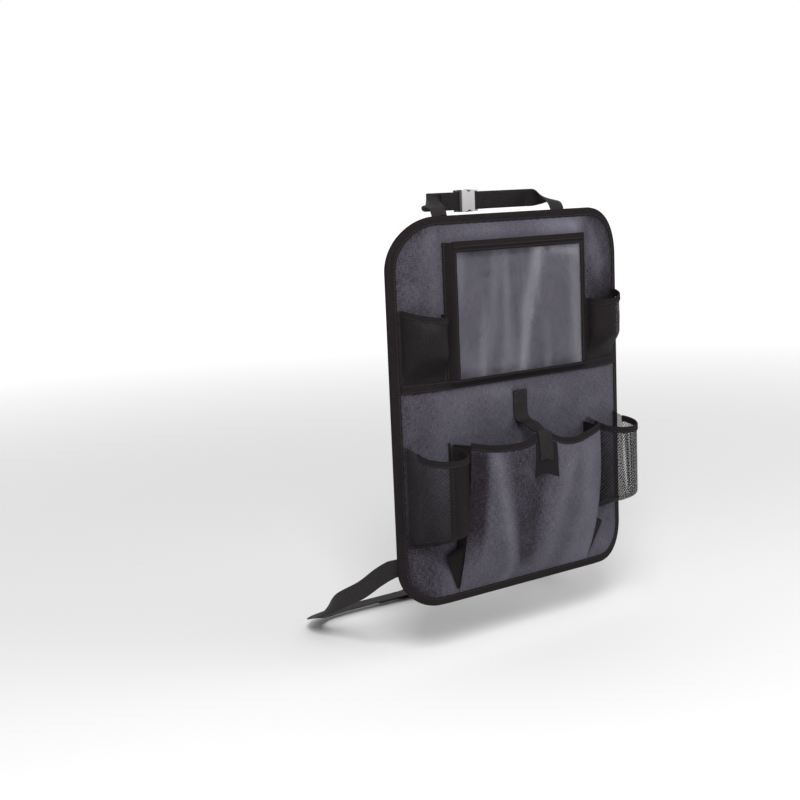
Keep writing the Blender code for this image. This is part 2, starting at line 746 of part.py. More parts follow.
def top_straps(material):
    """Both top straps leave the panel's top edge, pass outside a headrest post and meet at the buckle."""
    y, z = TOP_STRAP_Y, TOP_STRAP_Z
    edge = PANEL_H / 2
    up = (0.0, 0.0, 1.0)
    left_sewn = sewn_stops((LEFT_FOOT_X, 0.0, edge), up, (1.0, 0.0, 0.0))
    left = [
        ((LEFT_FOOT_X + 0.002, 0.010, edge + 0.010), (1.0, 0.0, 0.05)),
        ((LEFT_FOOT_X + 0.006, 0.028, edge + 0.016), (0.95, 0.0, 0.30)),
        ((LEFT_FOOT_X + 0.012, 0.044, z), (0.60, 0.0, 0.80)),
        ((LEFT_FOOT_X + 0.018, 0.054, z), (0.10, 0.0, 1.0)),
        ((LEFT_FOOT_X + 0.028, y + TURN_R, z), (0.0, 0.0, 1.0)),
    ]
    plug_turn = (TOP_MOUTH_X + PLUG_TURN_L, y, z)
    strap("upper_left_strap", left_sewn, left, plug_turn, (1, 0, 0), (0, 1, 0), (0, 0, 1), TOP_TAIL, material)
    right_sewn = sewn_stops((RIGHT_FOOT_X, 0.0, edge), up, (1.0, 0.0, 0.0))
    right = [
        ((RIGHT_FOOT_X + 0.001, 0.010, edge + 0.010), (1.0, 0.0, -0.05)),
        ((RIGHT_FOOT_X + 0.003, 0.028, edge + 0.016), (0.95, 0.0, -0.30)),
        ((RIGHT_FOOT_X, 0.044, z), (0.60, 0.0, -0.80)),
        ((RIGHT_FOOT_X - 0.007, 0.054, z), (0.10, 0.0, -1.0)),
        ((RIGHT_FOOT_X - 0.020, y + TURN_R, z), (0.0, 0.0, -1.0)),
    ]
    socket_turn = (TOP_MOUTH_X + SOCKET_TURN_L, y, z)
    strap("upper_right_strap", right_sewn, right, socket_turn, (-1, 0, 0), (0, 1, 0), (0, 0, -1), TOP_TAIL, material)


def base_strap(name, side, turn, tail, material):
    """A lower strap: round the side of the seat back, turned flat, then across in front of its foot."""
    x, y, z, foot_z = BASE_SIDE_X, BASE_STRAP_Y, BASE_STRAP_Z, BASE_FOOT_Z
    upright = (0.0, 0.0, -side)
    foot = (side * PANEL_W / 2, 0.0, foot_z)
    sewn = sewn_stops(foot, (side, 0.0, -0.12), upright)
    route = [
        ((side * (x - 0.0095), 0.0255, foot_z - 0.0025), upright),
        ((side * (x - 0.003), 0.0460, foot_z - 0.016), upright),
        ((side * x, 0.085, foot_z - 0.042), upright),
        ((side * x, 0.140, foot_z - 0.070), (0.10, 0.0, -side)),
        ((side * (x - 0.001), 0.176, foot_z - 0.090), (0.55, 0.0, -0.8 * side)),
        ((side * (x - 0.004), 0.208, foot_z - 0.110), (1.0, 0.0, -0.15 * side)),
        ((side * (x - 0.016), 0.242, foot_z - 0.126), (0.92, 0.38 * side, 0.0)),
        ((side * (x - 0.044), 0.266, z + 0.003), (0.45, 0.9 * side, 0.0)),
        ((side * (x - 0.084), y, z + TURN_R), (0.0, side, 0.0)),
    ]
    strap(name, sewn, route, turn, (-side, 0, 0), (0, 0, 1), (0, side, 0), tail, material)


def base_straps(material):
    y, z = BASE_STRAP_Y, BASE_STRAP_Z
    base_strap("lower_left_strap", -1, (BASE_MOUTH_X + PLUG_TURN_L, y, z), BASE_TAIL, material)
    base_strap("lower_right_strap", 1, (BASE_MOUTH_X + SOCKET_TURN_L, y, z), TOP_TAIL, material)


def box(name, low, high):
    """A box between two corners, as a plain object."""
    mesh = bpy.data.meshes.new(name)
    bm = bmesh.new()
    size = [b - a for a, b in zip(low, high)]
    middle = [(a + b) / 2 for a, b in zip(low, high)]
    bmesh.ops.create_cube(bm, size=1.0, matrix=Matrix.Translation(middle) @ Matrix.Diagonal((*size, 1.0)))
    bm.to_mesh(mesh)
    bm.free()
    obj = bpy.data.objects.new(name, mesh)
    bpy.context.scene.collection.objects.link(obj)
    return obj


def rod(name, centre, radius, length):
    """An upright cylinder, as a plain object."""
    mesh = bpy.data.meshes.new(name)
    bm = bmesh.new()
    place = Matrix.Translation(centre)
    bmesh.ops.create_cone(
        bm, cap_ends=True, segments=24, radius1=radius, radius2=radius, depth=length, matrix=place
    )
    bm.to_mesh(mesh)
    bm.free()
    obj = bpy.data.objects.new(name, mesh)
    bpy.context.scene.collection.objects.link(obj)
    return obj


def combine(body, tool, operation):
    """Cut a guide out of a body, or add it. The guide is hidden and rides on the body."""
    tool.hide_render = True
    tool.display_type = "WIRE"
    tool.parent = body
    cut = body.modifiers.new(tool.name, "BOOLEAN")
    cut.operation = operation
    cut.solver = "EXACT"
    cut.object = tool


def web_bar(body, name, start, end):
    """A bar across a buckle's end for webbing: a slot behind it, and thin enough to be wrapped."""
    slot_near, bar_near, bar_far = start, start + math.copysign(SLOT_L, end - start), end
    over = math.copysign(0.001, end - start)
    low, high = sorted((slot_near, bar_near))
    combine(body, box(name + "_slot", (low, -SLOT_W / 2, -0.01), (high, SLOT_W / 2, 0.01)), "DIFFERENCE")
    low, high = sorted((bar_near - over * 0.2, bar_far + over))
    for side, z in (("upper", 1), ("lower", -1)):
        faces = sorted((z * BAR_T / 2, z * 0.01))
        relief = box(f"{name}_{side}_relief", (low, -SLOT_W / 2, faces[0]), (high, SLOT_W / 2, faces[1]))
        combine(body, relief, "DIFFERENCE")


def socket(name, material):
    """The half of a side-release buckle that the prongs enter. It lies along +X, with its mouth at 0."""
    half = BUCKLE_W / 2
    nose = 0.0012
    outline = (
        (0.0, half - nose),
        (nose, half),
        (0.0185, half),
        (0.0215, half - 0.0006),
        (SOCKET_L - nose, half - 0.0006),
        (SOCKET_L, half - 0.0006 - nose),
    )
    body = plate(name, outline, SOCKET_T, material)
    soften(body, 0.0009)
    cavity = box(name + "_cavity", (-0.002, -CAVITY_W / 2, -CAVITY_T / 2), (CAVITY_L, CAVITY_W / 2, CAVITY_T / 2))
    combine(body, cavity, "DIFFERENCE")
    windows = box(name + "_windows", (LATCH_START, -0.02, -CAVITY_T / 2), (LATCH_END, 0.02, CAVITY_T / 2))
    combine(body, windows, "DIFFERENCE")
    thumb_r = 0.0054
    middle = (LATCH_START + LATCH_END) / 2
    for side in (-1, 1):
        thumb = rod(f"{name}_thumb_{side}", (middle, side * (half + 0.0022), 0.0), thumb_r, 0.02)
        combine(body, thumb, "DIFFERENCE")
    web_bar(body, name, CAVITY_L + 0.0022, SOCKET_L)
    return body


def plate(name, half_outline, thickness, material):
    """A plate whose outline is given for its upper half, mirrored across its length."""
    outline = list(half_outline) + [(x, -y) for x, y in reversed(half_outline) if y > 0]
    bm = bmesh.new()
    verts = [bm.verts.new((x, y, -thickness / 2)) for x, y in outline]
    face = bm.faces.new(verts)
    made = bmesh.ops.extrude_face_region(bm, geom=[face])
    top = [item for item in made["geom"] if isinstance(item, bmesh.types.BMVert)]
    bmesh.ops.translate(bm, vec=(0.0, 0.0, thickness), verts=top)
    bmesh.ops.triangulate(bm, faces=[f for f in bm.faces if len(f.verts) > 4])
    return add_object(name, bm, material)


def soften(body, width):
    bevel = body.modifiers.new("rounded edges", "BEVEL")
    bevel.width = width
    bevel.segments = 2
    bevel.limit_method = "ANGLE"
    bevel.angle_limit = math.radians(50)


def plug(name, material):
    """The half with two sprung arms and a guide prong, along +X from the socket's mouth at 0."""
    base = -MOUTH_GAP
    arm_out = CAVITY_W / 2 - 0.0005
    barb_out = BUCKLE_W / 2 + 0.0003
    neck = arm_out - 0.0014
    half_outline = (
        (base - FLANGE_L + 0.001, arm_out + 0.0012),
        (base, arm_out + 0.0012),
        (base, neck),
        (0.0045, arm_out - 0.0006),
        (LATCH_START + MOUTH_GAP, arm_out),
        (LATCH_START + MOUTH_GAP, barb_out),
        (0.0112, barb_out),
        (0.0160, arm_out + 0.0014),
        (0.0169, arm_out + 0.0004),
        (PRONG_L, arm_out - 0.0008),
        (0.0164, arm_out - 0.0020),
        (0.0130, arm_out - 0.0030),
        (0.0060, arm_out - 0.0040),
        (base + 0.0008, arm_out - 0.0050),
        (base, arm_out - 0.0060),
        (base, 0.0026),
        (0.0150, 0.0022),
        (0.0164, 0.0012),
    )
    body = plate(name, half_outline, PRONG_T, material)
    flange = box(
        name + "_flange",
        (base - FLANGE_L, -BUCKLE_W / 2, -FLANGE_T / 2),
        (base - 0.0001, BUCKLE_W / 2, FLANGE_T / 2),
    )
    soften(flange, 0.0009)
    combine(body, flange, "UNION")
    start = base - FLANGE_L
    end = start - SLOT_L - BAR_L
    tail = box(
        name + "_ladder", (end, -BUCKLE_W / 2 + 0.0004, -0.0028), (start + 0.001, BUCKLE_W / 2 - 0.0004, 0.0028)
    )
    soften(tail, 0.0007)
    combine(body, tail, "UNION")
    web_bar(body, name, start, end)
    return body


def buckles(socket_plastic, plug_plastic):
    """The top buckle stands on edge, between the posts. The bottom one lies flat."""
    places = (
        ("top_buckle", (TOP_MOUTH_X, TOP_STRAP_Y, TOP_STRAP_Z), math.pi / 2, socket_plastic),
        ("bottom_buckle", (BASE_MOUTH_X, BASE_STRAP_Y, BASE_STRAP_Z), 0.0, plug_plastic),
    )
    for name, place, turn, plastic in places:
        for half in (socket(name + "_socket", plastic), plug(name + "_plug", plug_plastic)):
            half.location = place
            half.rotation_euler = (turn, 0.0, 0.0)


def build():
    clear_scene()
    cloth = make_material("grey cloth", GREY_CLOTH, 0.9)
    tape = make_material("black tape", BLACK_TAPE, 0.7)
    black = make_material("black cloth", BLACK_CLOTH, 0.9)
    net = make_material("black net", BLACK_NET, 0.8)
    elastic = make_material("black elastic", BLACK_TAPE, 0.8)
    film = make_material("clear film", CLEAR_FILM, 0.08, alpha=0.25)
    foam = make_material("foam", FOAM, 0.9)
    webbing = make_material("black webbing", BLACK_TAPE, 0.75)
    loop_cloth = make_material("loop patch", BLACK_CLOTH, 1.0)
    pale = make_material("pale plastic", PALE_PLASTIC, 0.4)
    dark = make_material("black plastic", BLACK_PLASTIC, 0.35)

    panel_layer("back_lining", LINING_FRONT, 0.0, PINCH, PINCH, black)
    panel_layer("foam_core", CORE_FRONT, CORE_BACK, 0.0, PINCH, foam)
    panel_layer("front_fabric", FACE_Y, FABRIC_BACK, 0.0, 0.0, cloth)
    edge_binding(tape)
    tablet_pocket(black, film, tape)
    seam_tape(tape)
    upper_net("upper_left", -1, net, elastic)
    upper_net("upper_right", 1, net, elastic)
    bottle_net("lower_left", -1, LEFT_BOTTLE_R, LEFT_BOTTLE_LEAN, net, elastic)
    bottle_net("lower_right", 1, RIGHT_BOTTLE_R, RIGHT_BOTTLE_LEAN, net, elastic)
    centre_pocket(cloth, black, tape)
    closing_strap(webbing, loop_cloth)
    top_straps(webbing)
    base_straps(webbing)
    buckles(pale, dark)


build()
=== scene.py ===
# %% [markdown]
# # A seat-back organizer in cloth, net and webbing
# The organizer is a flat panel that hangs on the back of a car seat. It has a clear pocket for a
# tablet, four net pockets, a deep pocket in the middle and four straps with two buckles.
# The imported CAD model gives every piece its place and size. This lesson gives each piece its cloth.

import math

import bpy
import numpy as np
from mathutils import Matrix, Vector, noise


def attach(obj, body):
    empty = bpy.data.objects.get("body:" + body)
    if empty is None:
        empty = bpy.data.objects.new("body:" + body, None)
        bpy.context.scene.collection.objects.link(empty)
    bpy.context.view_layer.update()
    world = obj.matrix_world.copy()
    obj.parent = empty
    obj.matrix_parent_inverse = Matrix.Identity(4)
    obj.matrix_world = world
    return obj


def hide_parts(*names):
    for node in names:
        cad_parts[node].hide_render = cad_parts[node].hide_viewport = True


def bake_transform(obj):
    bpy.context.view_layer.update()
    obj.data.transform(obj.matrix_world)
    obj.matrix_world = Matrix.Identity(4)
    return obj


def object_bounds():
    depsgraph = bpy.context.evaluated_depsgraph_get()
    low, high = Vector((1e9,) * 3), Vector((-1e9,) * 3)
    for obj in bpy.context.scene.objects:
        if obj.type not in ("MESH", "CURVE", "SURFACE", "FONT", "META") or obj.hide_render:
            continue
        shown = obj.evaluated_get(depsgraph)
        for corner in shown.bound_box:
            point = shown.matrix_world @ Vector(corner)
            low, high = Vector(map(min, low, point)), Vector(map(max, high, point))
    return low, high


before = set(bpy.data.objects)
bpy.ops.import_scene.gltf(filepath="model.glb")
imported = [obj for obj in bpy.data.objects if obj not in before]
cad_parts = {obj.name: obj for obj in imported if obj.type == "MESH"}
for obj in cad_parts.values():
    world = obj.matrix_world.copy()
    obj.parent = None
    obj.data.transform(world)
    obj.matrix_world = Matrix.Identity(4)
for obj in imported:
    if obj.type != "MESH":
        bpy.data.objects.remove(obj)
cad_low, cad_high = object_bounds()
print("nodes", len(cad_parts), "box", [round(a, 3) for a in cad_high - cad_low])

# %% [markdown]
# ## The camera
# The photograph was taken from the left and a little above, with a long lens and a slight tilt.
# The camera could be aimed with a Track To constraint, but then it couldn't be rolled to match.
# So its three directions are worked out from its azimuth, elevation and roll.

# %% Camera
VIEW_AZIMUTH = math.radians(-35.21)
VIEW_ELEVATION = math.radians(9.14)
VIEW_ROLL = math.radians(-2.5)
VIEW_PLACE = Vector((-1.1907, -1.3968, 0.3030))

view_back = Vector((
    math.sin(VIEW_AZIMUTH) * math.cos(VIEW_ELEVATION),
    -math.cos(VIEW_AZIMUTH) * math.cos(VIEW_ELEVATION),
    math.sin(VIEW_ELEVATION),
))
level_right = Vector((math.cos(VIEW_AZIMUTH), math.sin(VIEW_AZIMUTH), 0.0))
level_up = view_back.cross(level_right)
view_right = math.cos(VIEW_ROLL) * level_right + math.sin(VIEW_ROLL) * level_up
view_up = math.cos(VIEW_ROLL) * level_up - math.sin(VIEW_ROLL) * level_right

bpy.ops.object.select_all(action="DESELECT")
bpy.ops.object.camera_add(location=VIEW_PLACE)
camera = bpy.context.object
camera.name = "photo_camera"
camera.data.sensor_width = 36.0
camera.data.lens = 58.5
camera.rotation_mode = "QUATERNION"
camera.rotation_quaternion = Matrix((view_right, view_up, view_back)).transposed().to_quaternion()
bpy.context.scene.camera = camera
print("camera at", [round(a, 3) for a in VIEW_PLACE])

# %% [markdown]
# ## Sizes
# The sizes below are those of the CAD model, in metres. The panel's front faces -Y, and the origin
# lies on its back, at its middle. Each sheet has a gap of a third of a millimetre to the next.

# %% Sizes of the panel and its pockets
PANEL_W, PANEL_H = 0.420, 0.535
TOP_R, BOTTOM_R = 0.072, 0.056
SIDE_SWEEP, FLAT_HALF = 0.018, 0.130
GAP = 0.0003
LINING_T, CORE_T, FABRIC_T, TAPE_T = 0.0006, 0.0025, 0.0008, 0.0008
CORE_BACK = -LINING_T - GAP
FABRIC_BACK = CORE_BACK - CORE_T - GAP
FACE_Y = FABRIC_BACK - FABRIC_T
BINDING_W, EDGE_INSET = 0.012, TAPE_T + GAP
BINDING_BACK = GAP + TAPE_T
INNER_EDGE = PANEL_W / 2 - BINDING_W

FRAME_W, FRAME_H, FRAME_T = 0.260, 0.1985, 0.0010
FRAME_TOP = PANEL_H / 2 - 0.036
FRAME_BOTTOM = FRAME_TOP - FRAME_H
WINDOW_W, WINDOW_TOP = 0.226, FRAME_TOP - 0.014
TABLET_ROOM, RAMP_W, SEAM_TAPE_H = 0.0095, 0.011, 0.0125

NET_T, ELASTIC_W, ELASTIC_T = 0.0008, 0.009, 0.0010
UPPER_NET_TOP, UPPER_NET_DEPTH = FRAME_BOTTOM + 0.113, 0.030
BOTTLE_BOTTOM = 0.0865 - PANEL_H / 2
BOTTLE_TOP = BOTTLE_BOTTOM + 0.141

POCKET_W, POCKET_H, POCKET_D, POCKET_T = 0.242, 0.215, 0.047, 0.0012
POCKET_BOTTOM = BINDING_W + 0.0005 - PANEL_H / 2
POCKET_TOP = POCKET_BOTTOM + POCKET_H
print("face at y", round(FACE_Y, 4), "tablet pocket z", round(FRAME_BOTTOM, 4), "to", round(FRAME_TOP, 4))

# %% [markdown]
# ## Small tools
# A sheet of cloth is a grid of threads, so every sheet here starts as Blender's grid primitive.
# Each crossing of the grid is then moved to its place on the real surface, and the Solidify
# modifier gives the sheet its thickness. The grid's UV map is kept in metres, so that a weave has
# the same scale on every piece. The alternative, one cube per strap, would have no room for folds.

# %% Tools for curves
def smooth_step(t):
    t = min(1.0, max(0.0, t))
    return t * t * (3.0 - 2.0 * t)


def spread(low, high, count):
    return [low + (high - low) * i / count for i in range(count + 1)]


def mirrored(right):
    """Columns on both sides of the middle."""
    return [-x for x in reversed(right)] + [0.0] + right


def at_knots(knots, v):
    """The value at v on straight lines through (v, value) knots."""
    return float(np.interp(v, *zip(*knots)))


def run_along(points, axis=0):
    """How far each point lies along its line of points."""
    steps = np.linalg.norm(np.diff(points, axis=axis), axis=-1)
    return np.cumsum(np.insert(steps, 0, 0.0, axis=axis), axis=axis)


def through(points, t):
    """Point on the smooth curve through the points, with t from 0 to 1."""
    count = len(points) - 1
    at = min(count - 1, int(t * count))
    f = t * count - at
    before, start = points[max(0, at - 1)], points[at]
    end, after = points[at + 1], points[min(count, at + 2)]
    return 0.5 * (
        2 * start
        + (end - before) * f
        + (2 * before - 5 * start + 4 * end - after) * f * f
        + (3 * start - before - 3 * end + after) * f * f * f
    )


def panel_y(x):
    """How far the panel's sides curve back towards the seat."""
    beyond = max(0.0, abs(x) - FLAT_HALF) / (PANEL_W / 2 - FLAT_HALF)
    return SIDE_SWEEP * beyond * beyond


def ripple(x, z, size, seed):
    """Slow, uneven waves between -1 and 1, at a size in metres."""
    return noise.noise(Vector((x / size, z / size, seed))) * 1.6


print("panel side lies back by", panel_y(PANEL_W / 2))


# %% Tools for sheets
def only(piece):
    """Select one piece and nothing else."""
    bpy.ops.object.select_all(action="DESELECT")
    piece.select_set(True)
    bpy.context.view_layer.objects.active = piece


def edit_all(piece, tool, **settings):
    """Run one of Blender's mesh tools on the whole piece."""
    only(piece)
    bpy.ops.object.mode_set(mode="EDIT")
    bpy.ops.mesh.select_all(action="SELECT")
    tool(**settings)
    bpy.ops.object.mode_set(mode="OBJECT")


def pick_faces(piece, wanted):
    """Select the faces whose centres pass a test, and let every other face, edge and point go."""
    mesh = piece.data
    mesh.vertices.foreach_set("select", [False] * len(mesh.vertices))
    mesh.edges.foreach_set("select", [False] * len(mesh.edges))
    mesh.polygons.foreach_set("select", [bool(wanted(face.center)) for face in mesh.polygons])
    only(piece)
    bpy.ops.object.mode_set(mode="EDIT")
    bpy.ops.mesh.select_mode(type="FACE")


def apply_modifiers(piece):
    only(piece)
    for modifier in list(piece.modifiers):
        bpy.ops.object.modifier_apply(modifier=modifier.name)


def lay_grid(name, us, vs, place, flat=None):
    """A grid of cloth. place gives the point for each pair from us and vs, flat its UV in metres."""
    bpy.ops.object.select_all(action="DESELECT")
    across, up = len(us) - 1, len(vs) - 1
    bpy.ops.mesh.primitive_grid_add(x_subdivisions=across, y_subdivisions=up, size=1.0)
    piece = bpy.context.object
    piece.name = piece.data.name = name
    corners = []
    for vert in piece.data.vertices:
        i, j = round((vert.co.x + 0.5) * across), round((vert.co.y + 0.5) * up)
        corners.append((i, j))
        vert.co = place(us[i], vs[j])
    layer = piece.data.uv_layers.active
    for loop in piece.data.loops:
        i, j = corners[loop.vertex_index]
        layer.data[loop.index].uv = flat(us[i], vs[j]) if flat else (us[i], vs[j])
    return piece


def face_towards(piece, direction, first=12):
    """Turn the whole sheet over if its first faces look away from a direction."""
    piece.data.update()
    mean = sum((polygon.normal for polygon in piece.data.polygons[:first]), Vector())
    if mean.dot(Vector(direction)) < 0:
        edit_all(piece, bpy.ops.mesh.flip_normals)


def thicken(piece, thickness, soften=0.0, even=True):
    """Give a sheet its thickness behind its good side, and round its cut edges if asked."""
    solid = piece.modifiers.new("thickness", "SOLIDIFY")
    solid.thickness = thickness
    solid.offset = -1.0
    solid.use_even_offset = even
    solid.use_quality_normals = True
    if soften:
        edge = piece.modifiers.new("soft edge", "BEVEL")
        edge.width = soften
        edge.segments = 2
        edge.limit_method = "ANGLE"
        edge.angle_limit = math.radians(60)
    apply_modifiers(piece)
    only(piece)
    bpy.ops.object.shade_smooth_by_angle(angle=math.radians(50))
    print(piece.name, len(piece.data.polygons), "faces")


def finish_piece(piece, material, *nodes):
    """Give a piece its material, its body and the CAD nodes that it stands for."""
    piece.data.materials.clear()
    piece.data.materials.append(material)
    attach(piece, BODY)
    if nodes:
        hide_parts(*nodes)
    return piece


def write_value(piece, name, values):
    """Store one number for each point, which a material reads by its name."""
    layer = piece.data.attributes.new(name, "FLOAT", "POINT")
    layer.data.foreach_set("value", np.array(values, dtype=np.float32))


BODY = "organizer"
FRONT, THREAD_LIFT = (0, -1, 0), 0.0001

# %% [markdown]
# ## Shared finishes
# Weave, mottled yarn, net and ribbed tape are each used on many pieces. Each is a node group with
# its own inputs, built once. A group gives only masks, values and heights. The shader itself stays
# in each material. The cloth's patterns read the piece's own UV map, which is in metres.

# %% Helpers for node groups
def put(tree, kind, **settings):
    node = tree.nodes.new(kind)
    for name, value in settings.items():
        setattr(node, name, value)
    return node


def feed(tree, value, socket):
    """Join a socket to a socket, or write a plain value into it."""
    if isinstance(value, bpy.types.NodeSocket):
        tree.links.new(value, socket)
    else:
        socket.default_value = value


def maths(tree, operation, *values, clamp=False):
    node = put(tree, "ShaderNodeMath", operation=operation, use_clamp=clamp)
    for value, socket in zip(values, node.inputs):
        feed(tree, value, socket)
    return node.outputs[0]


def blend_values(tree, factor, one, other):
    node = put(tree, "ShaderNodeMix", data_type="FLOAT")
    for value, socket in zip((factor, one, other), (node.inputs[0], node.inputs[2], node.inputs[3])):
        feed(tree, value, socket)
    return node.outputs[0]


def blend_colours(tree, factor, one, other):
    node = put(tree, "ShaderNodeMix", data_type="RGBA")
    for value, socket in zip((factor, one, other), (node.inputs[0], node.inputs[6], node.inputs[7])):
        feed(tree, value, socket)
    return node.outputs[2]


def weigh(tree, *parts):
    """Add up (mask, weight) parts."""
    total = maths(tree, "MULTIPLY", *parts[-1])
    for part in reversed(parts[:-1]):
        total = maths(tree, "MULTIPLY_ADD", *part, total)
    return total


def new_group(name, inputs, outputs):
    """A node group with named inputs (kind and start value) and named float outputs."""
    tree = bpy.data.node_groups.new(name, "ShaderNodeTree")
    for label, kind, value in inputs:
        socket = tree.interface.new_socket(label, in_out="INPUT", socket_type=kind)
        if value is not None:
            socket.default_value = value
    for label in outputs:
        tree.interface.new_socket(label, in_out="OUTPUT", socket_type="NodeSocketFloat")
    return tree, put(tree, "NodeGroupInput"), put(tree, "NodeGroupOutput")


def give(tree, result, **values):
    """Send a group's results to its named outputs."""
    for label, value in values.items():
        tree.links.new(value, result.inputs[label])


def uv_parts(tree, given):
    """A group's UV input, in its two directions."""
    split = put(tree, "ShaderNodeSeparateXYZ")
    tree.links.new(given.outputs["UV"], split.inputs[0])
    return split.outputs[0], split.outputs[1]


def humps(tree, turns):
    """Round ridges, one for each whole turn."""
    return maths(tree, "ABSOLUTE", maths(tree, "SINE", maths(tree, "MULTIPLY", turns, math.pi)))


def stretched_noise(tree, vector, size_u, size_v, detail=2.0):
    """Noise whose grains are size_u by size_v metres."""
    mapping = put(tree, "ShaderNodeMapping")
    mapping.inputs["Scale"].default_value = (1 / size_u, 1 / size_v, 1.0)
    tree.links.new(vector, mapping.inputs["Vector"])
    grain = put(tree, "ShaderNodeTexNoise")
    grain.inputs["Scale"].default_value = 1.0
    grain.inputs["Detail"].default_value = detail
    tree.links.new(mapping.outputs[0], grain.inputs["Vector"])
    return grain.outputs["Fac"]


UV_IN = ("UV", "NodeSocketVector", None)
print("node helpers ready")

# %% Plain weave
weave, given, result = new_group("plain weave", (UV_IN, ("Pitch", "NodeSocketFloat", 0.001)), ("Height",))
thread_u, thread_v = [maths(weave, "DIVIDE", part, given.outputs["Pitch"]) for part in uv_parts(weave, given)]
cell = maths(weave, "ADD", maths(weave, "FLOOR", thread_u), maths(weave, "FLOOR", thread_v))
over = maths(weave, "PINGPONG", cell, 1.0)
give(weave, result, Height=blend_values(weave, over, humps(weave, thread_u), humps(weave, thread_v)))
print("weave nodes", len(weave.nodes))

# %% Mottled yarn
# Grey cloth of this kind is woven from light and dark fibres, so it is flecked along both threads.
yarn, given, result = new_group("mottled yarn", (UV_IN,), ("Fleck", "Cloud"))
along = stretched_noise(yarn, given.outputs["UV"], 0.0060, 0.0010)
across = stretched_noise(yarn, given.outputs["UV"], 0.0009, 0.0090)
both = maths(yarn, "MULTIPLY_ADD", maths(yarn, "ADD", along, across), 2.4, -1.9, clamp=True)
give(yarn, result, Fleck=both, Cloud=stretched_noise(yarn, given.outputs["UV"], 0.045, 0.045, 3.0))
print("yarn nodes", len(yarn.nodes))

# %% Net
# The net is knitted with round holes in staggered rows, ROW_STEP apart when the holes in a row are
# 1 apart. Alpha is 1 on the yarn and 0 in a hole.
netting, given, result = new_group(
    "knitted net", (UV_IN, ("Pitch", "NodeSocketFloat", 0.002), ("Hole", "NodeSocketFloat", 0.36)),
    ("Alpha", "Height"),
)
ROW_STEP = 0.866
net_u, net_v = uv_parts(netting, given)
row = maths(netting, "DIVIDE", net_v, maths(netting, "MULTIPLY", given.outputs["Pitch"], ROW_STEP))
shift = maths(netting, "MULTIPLY", maths(netting, "PINGPONG", maths(netting, "FLOOR", row), 1.0), 0.5)
column = maths(netting, "ADD", maths(netting, "DIVIDE", net_u, given.outputs["Pitch"]), shift)
from_u = maths(netting, "SUBTRACT", maths(netting, "FRACT", column), 0.5)
from_v = maths(netting, "MULTIPLY", maths(netting, "SUBTRACT", maths(netting, "FRACT", row), 0.5), ROW_STEP)
reach = maths(netting, "SQRT", weigh(netting, (from_u, from_u), (from_v, from_v)))
solid_part = maths(netting, "GREATER_THAN", reach, given.outputs["Hole"])
give(netting, result, Alpha=solid_part, Height=maths(netting, "MULTIPLY", reach, 1.6, clamp=True))
print("net nodes", len(netting.nodes))

# %% Ribbed tape
ribs, given, result = new_group(
    "ribbed tape", (UV_IN, ("Pitch", "NodeSocketFloat", 0.0012)), ("Height", "Shade")
)
rib = humps(ribs, maths(ribs, "DIVIDE", uv_parts(ribs, given)[0], given.outputs["Pitch"]))
fuzz = stretched_noise(ribs, given.outputs["UV"], 0.0006, 0.0015)
uneven = stretched_noise(ribs, given.outputs["UV"], 0.012, 0.006, 3.0)
shade = weigh(ribs, (rib, 0.35), (uneven, 0.65))
give(ribs, result, Height=maths(ribs, "MULTIPLY_ADD", fuzz, 0.5, rib), Shade=shade)
print("tape nodes", len(ribs.nodes))


# %% [markdown]
# ## Materials
# Each finish mixes two or more tones by the masks above and has its own roughness and bump. The
# grey cloth also reads a value from the mesh that paints light and shade into its colour: paler on
# folds and lit patches, darker in the hollows. The clear film reads one that paints reflections.

# %% Material helpers
def new_material(name):
    material = bpy.data.materials.new(name)
    material.use_nodes = True
    tree = material.node_tree
    shader = tree.nodes["Principled BSDF"]
    uv = put(tree, "ShaderNodeUVMap").outputs["UV"]
    return material, tree, shader, uv


def use_group(tree, group, uv, **values):
    node = put(tree, "ShaderNodeGroup", node_tree=group)
    tree.links.new(uv, node.inputs["UV"])
    for name, value in values.items():
        node.inputs[name].default_value = value
    return node.outputs


def add_bump(tree, shader, height, distance, strength=0.6):
    bump = put(tree, "ShaderNodeBump")
    bump.inputs["Distance"].default_value = distance
    bump.inputs["Strength"].default_value = strength
    tree.links.new(height, bump.inputs["Height"])
    tree.links.new(bump.outputs[0], shader.inputs["Normal"])


def read_value(tree, name):
    return put(tree, "ShaderNodeAttribute", attribute_name=name).outputs["Fac"]


def set_tones(tree, shader, tone, low, high, rough, shine=None):
    """Mix two colours by a mask. Rough is (mask, share, start), and shine the specular level."""
    tree.links.new(blend_colours(tree, tone, (*low, 1.0), (*high, 1.0)), shader.inputs["Base Color"])
    tree.links.new(maths(tree, "MULTIPLY_ADD", *rough), shader.inputs["Roughness"])
    if shine is not None:
        shader.inputs["Specular IOR Level"].default_value = shine


print("material helpers ready")

# %% Grey cloth
GREY_CLOTH, tree, shader, uv = new_material("grey_mottled_cloth")
flecks = use_group(tree, yarn, uv)
threads = use_group(tree, weave, uv, Pitch=0.0011)
lightness = weigh(tree, (flecks["Cloud"], 0.20), (flecks["Fleck"], 0.17), (threads["Height"], 0.10))
# The mesh value added here paints light and shade into the cloth's colour.
lightness = maths(tree, "ADD", lightness, read_value(tree, "painted_shading"), clamp=True)
dark, pale = (0.015, 0.011, 0.015), (0.255, 0.248, 0.310)
set_tones(tree, shader, lightness, dark, pale, (flecks["Cloud"], 0.12, 0.80), 0.08)
add_bump(tree, shader, maths(tree, "MULTIPLY_ADD", flecks["Fleck"], 0.5, threads["Height"]), 0.0002)
print(GREY_CLOTH.name)


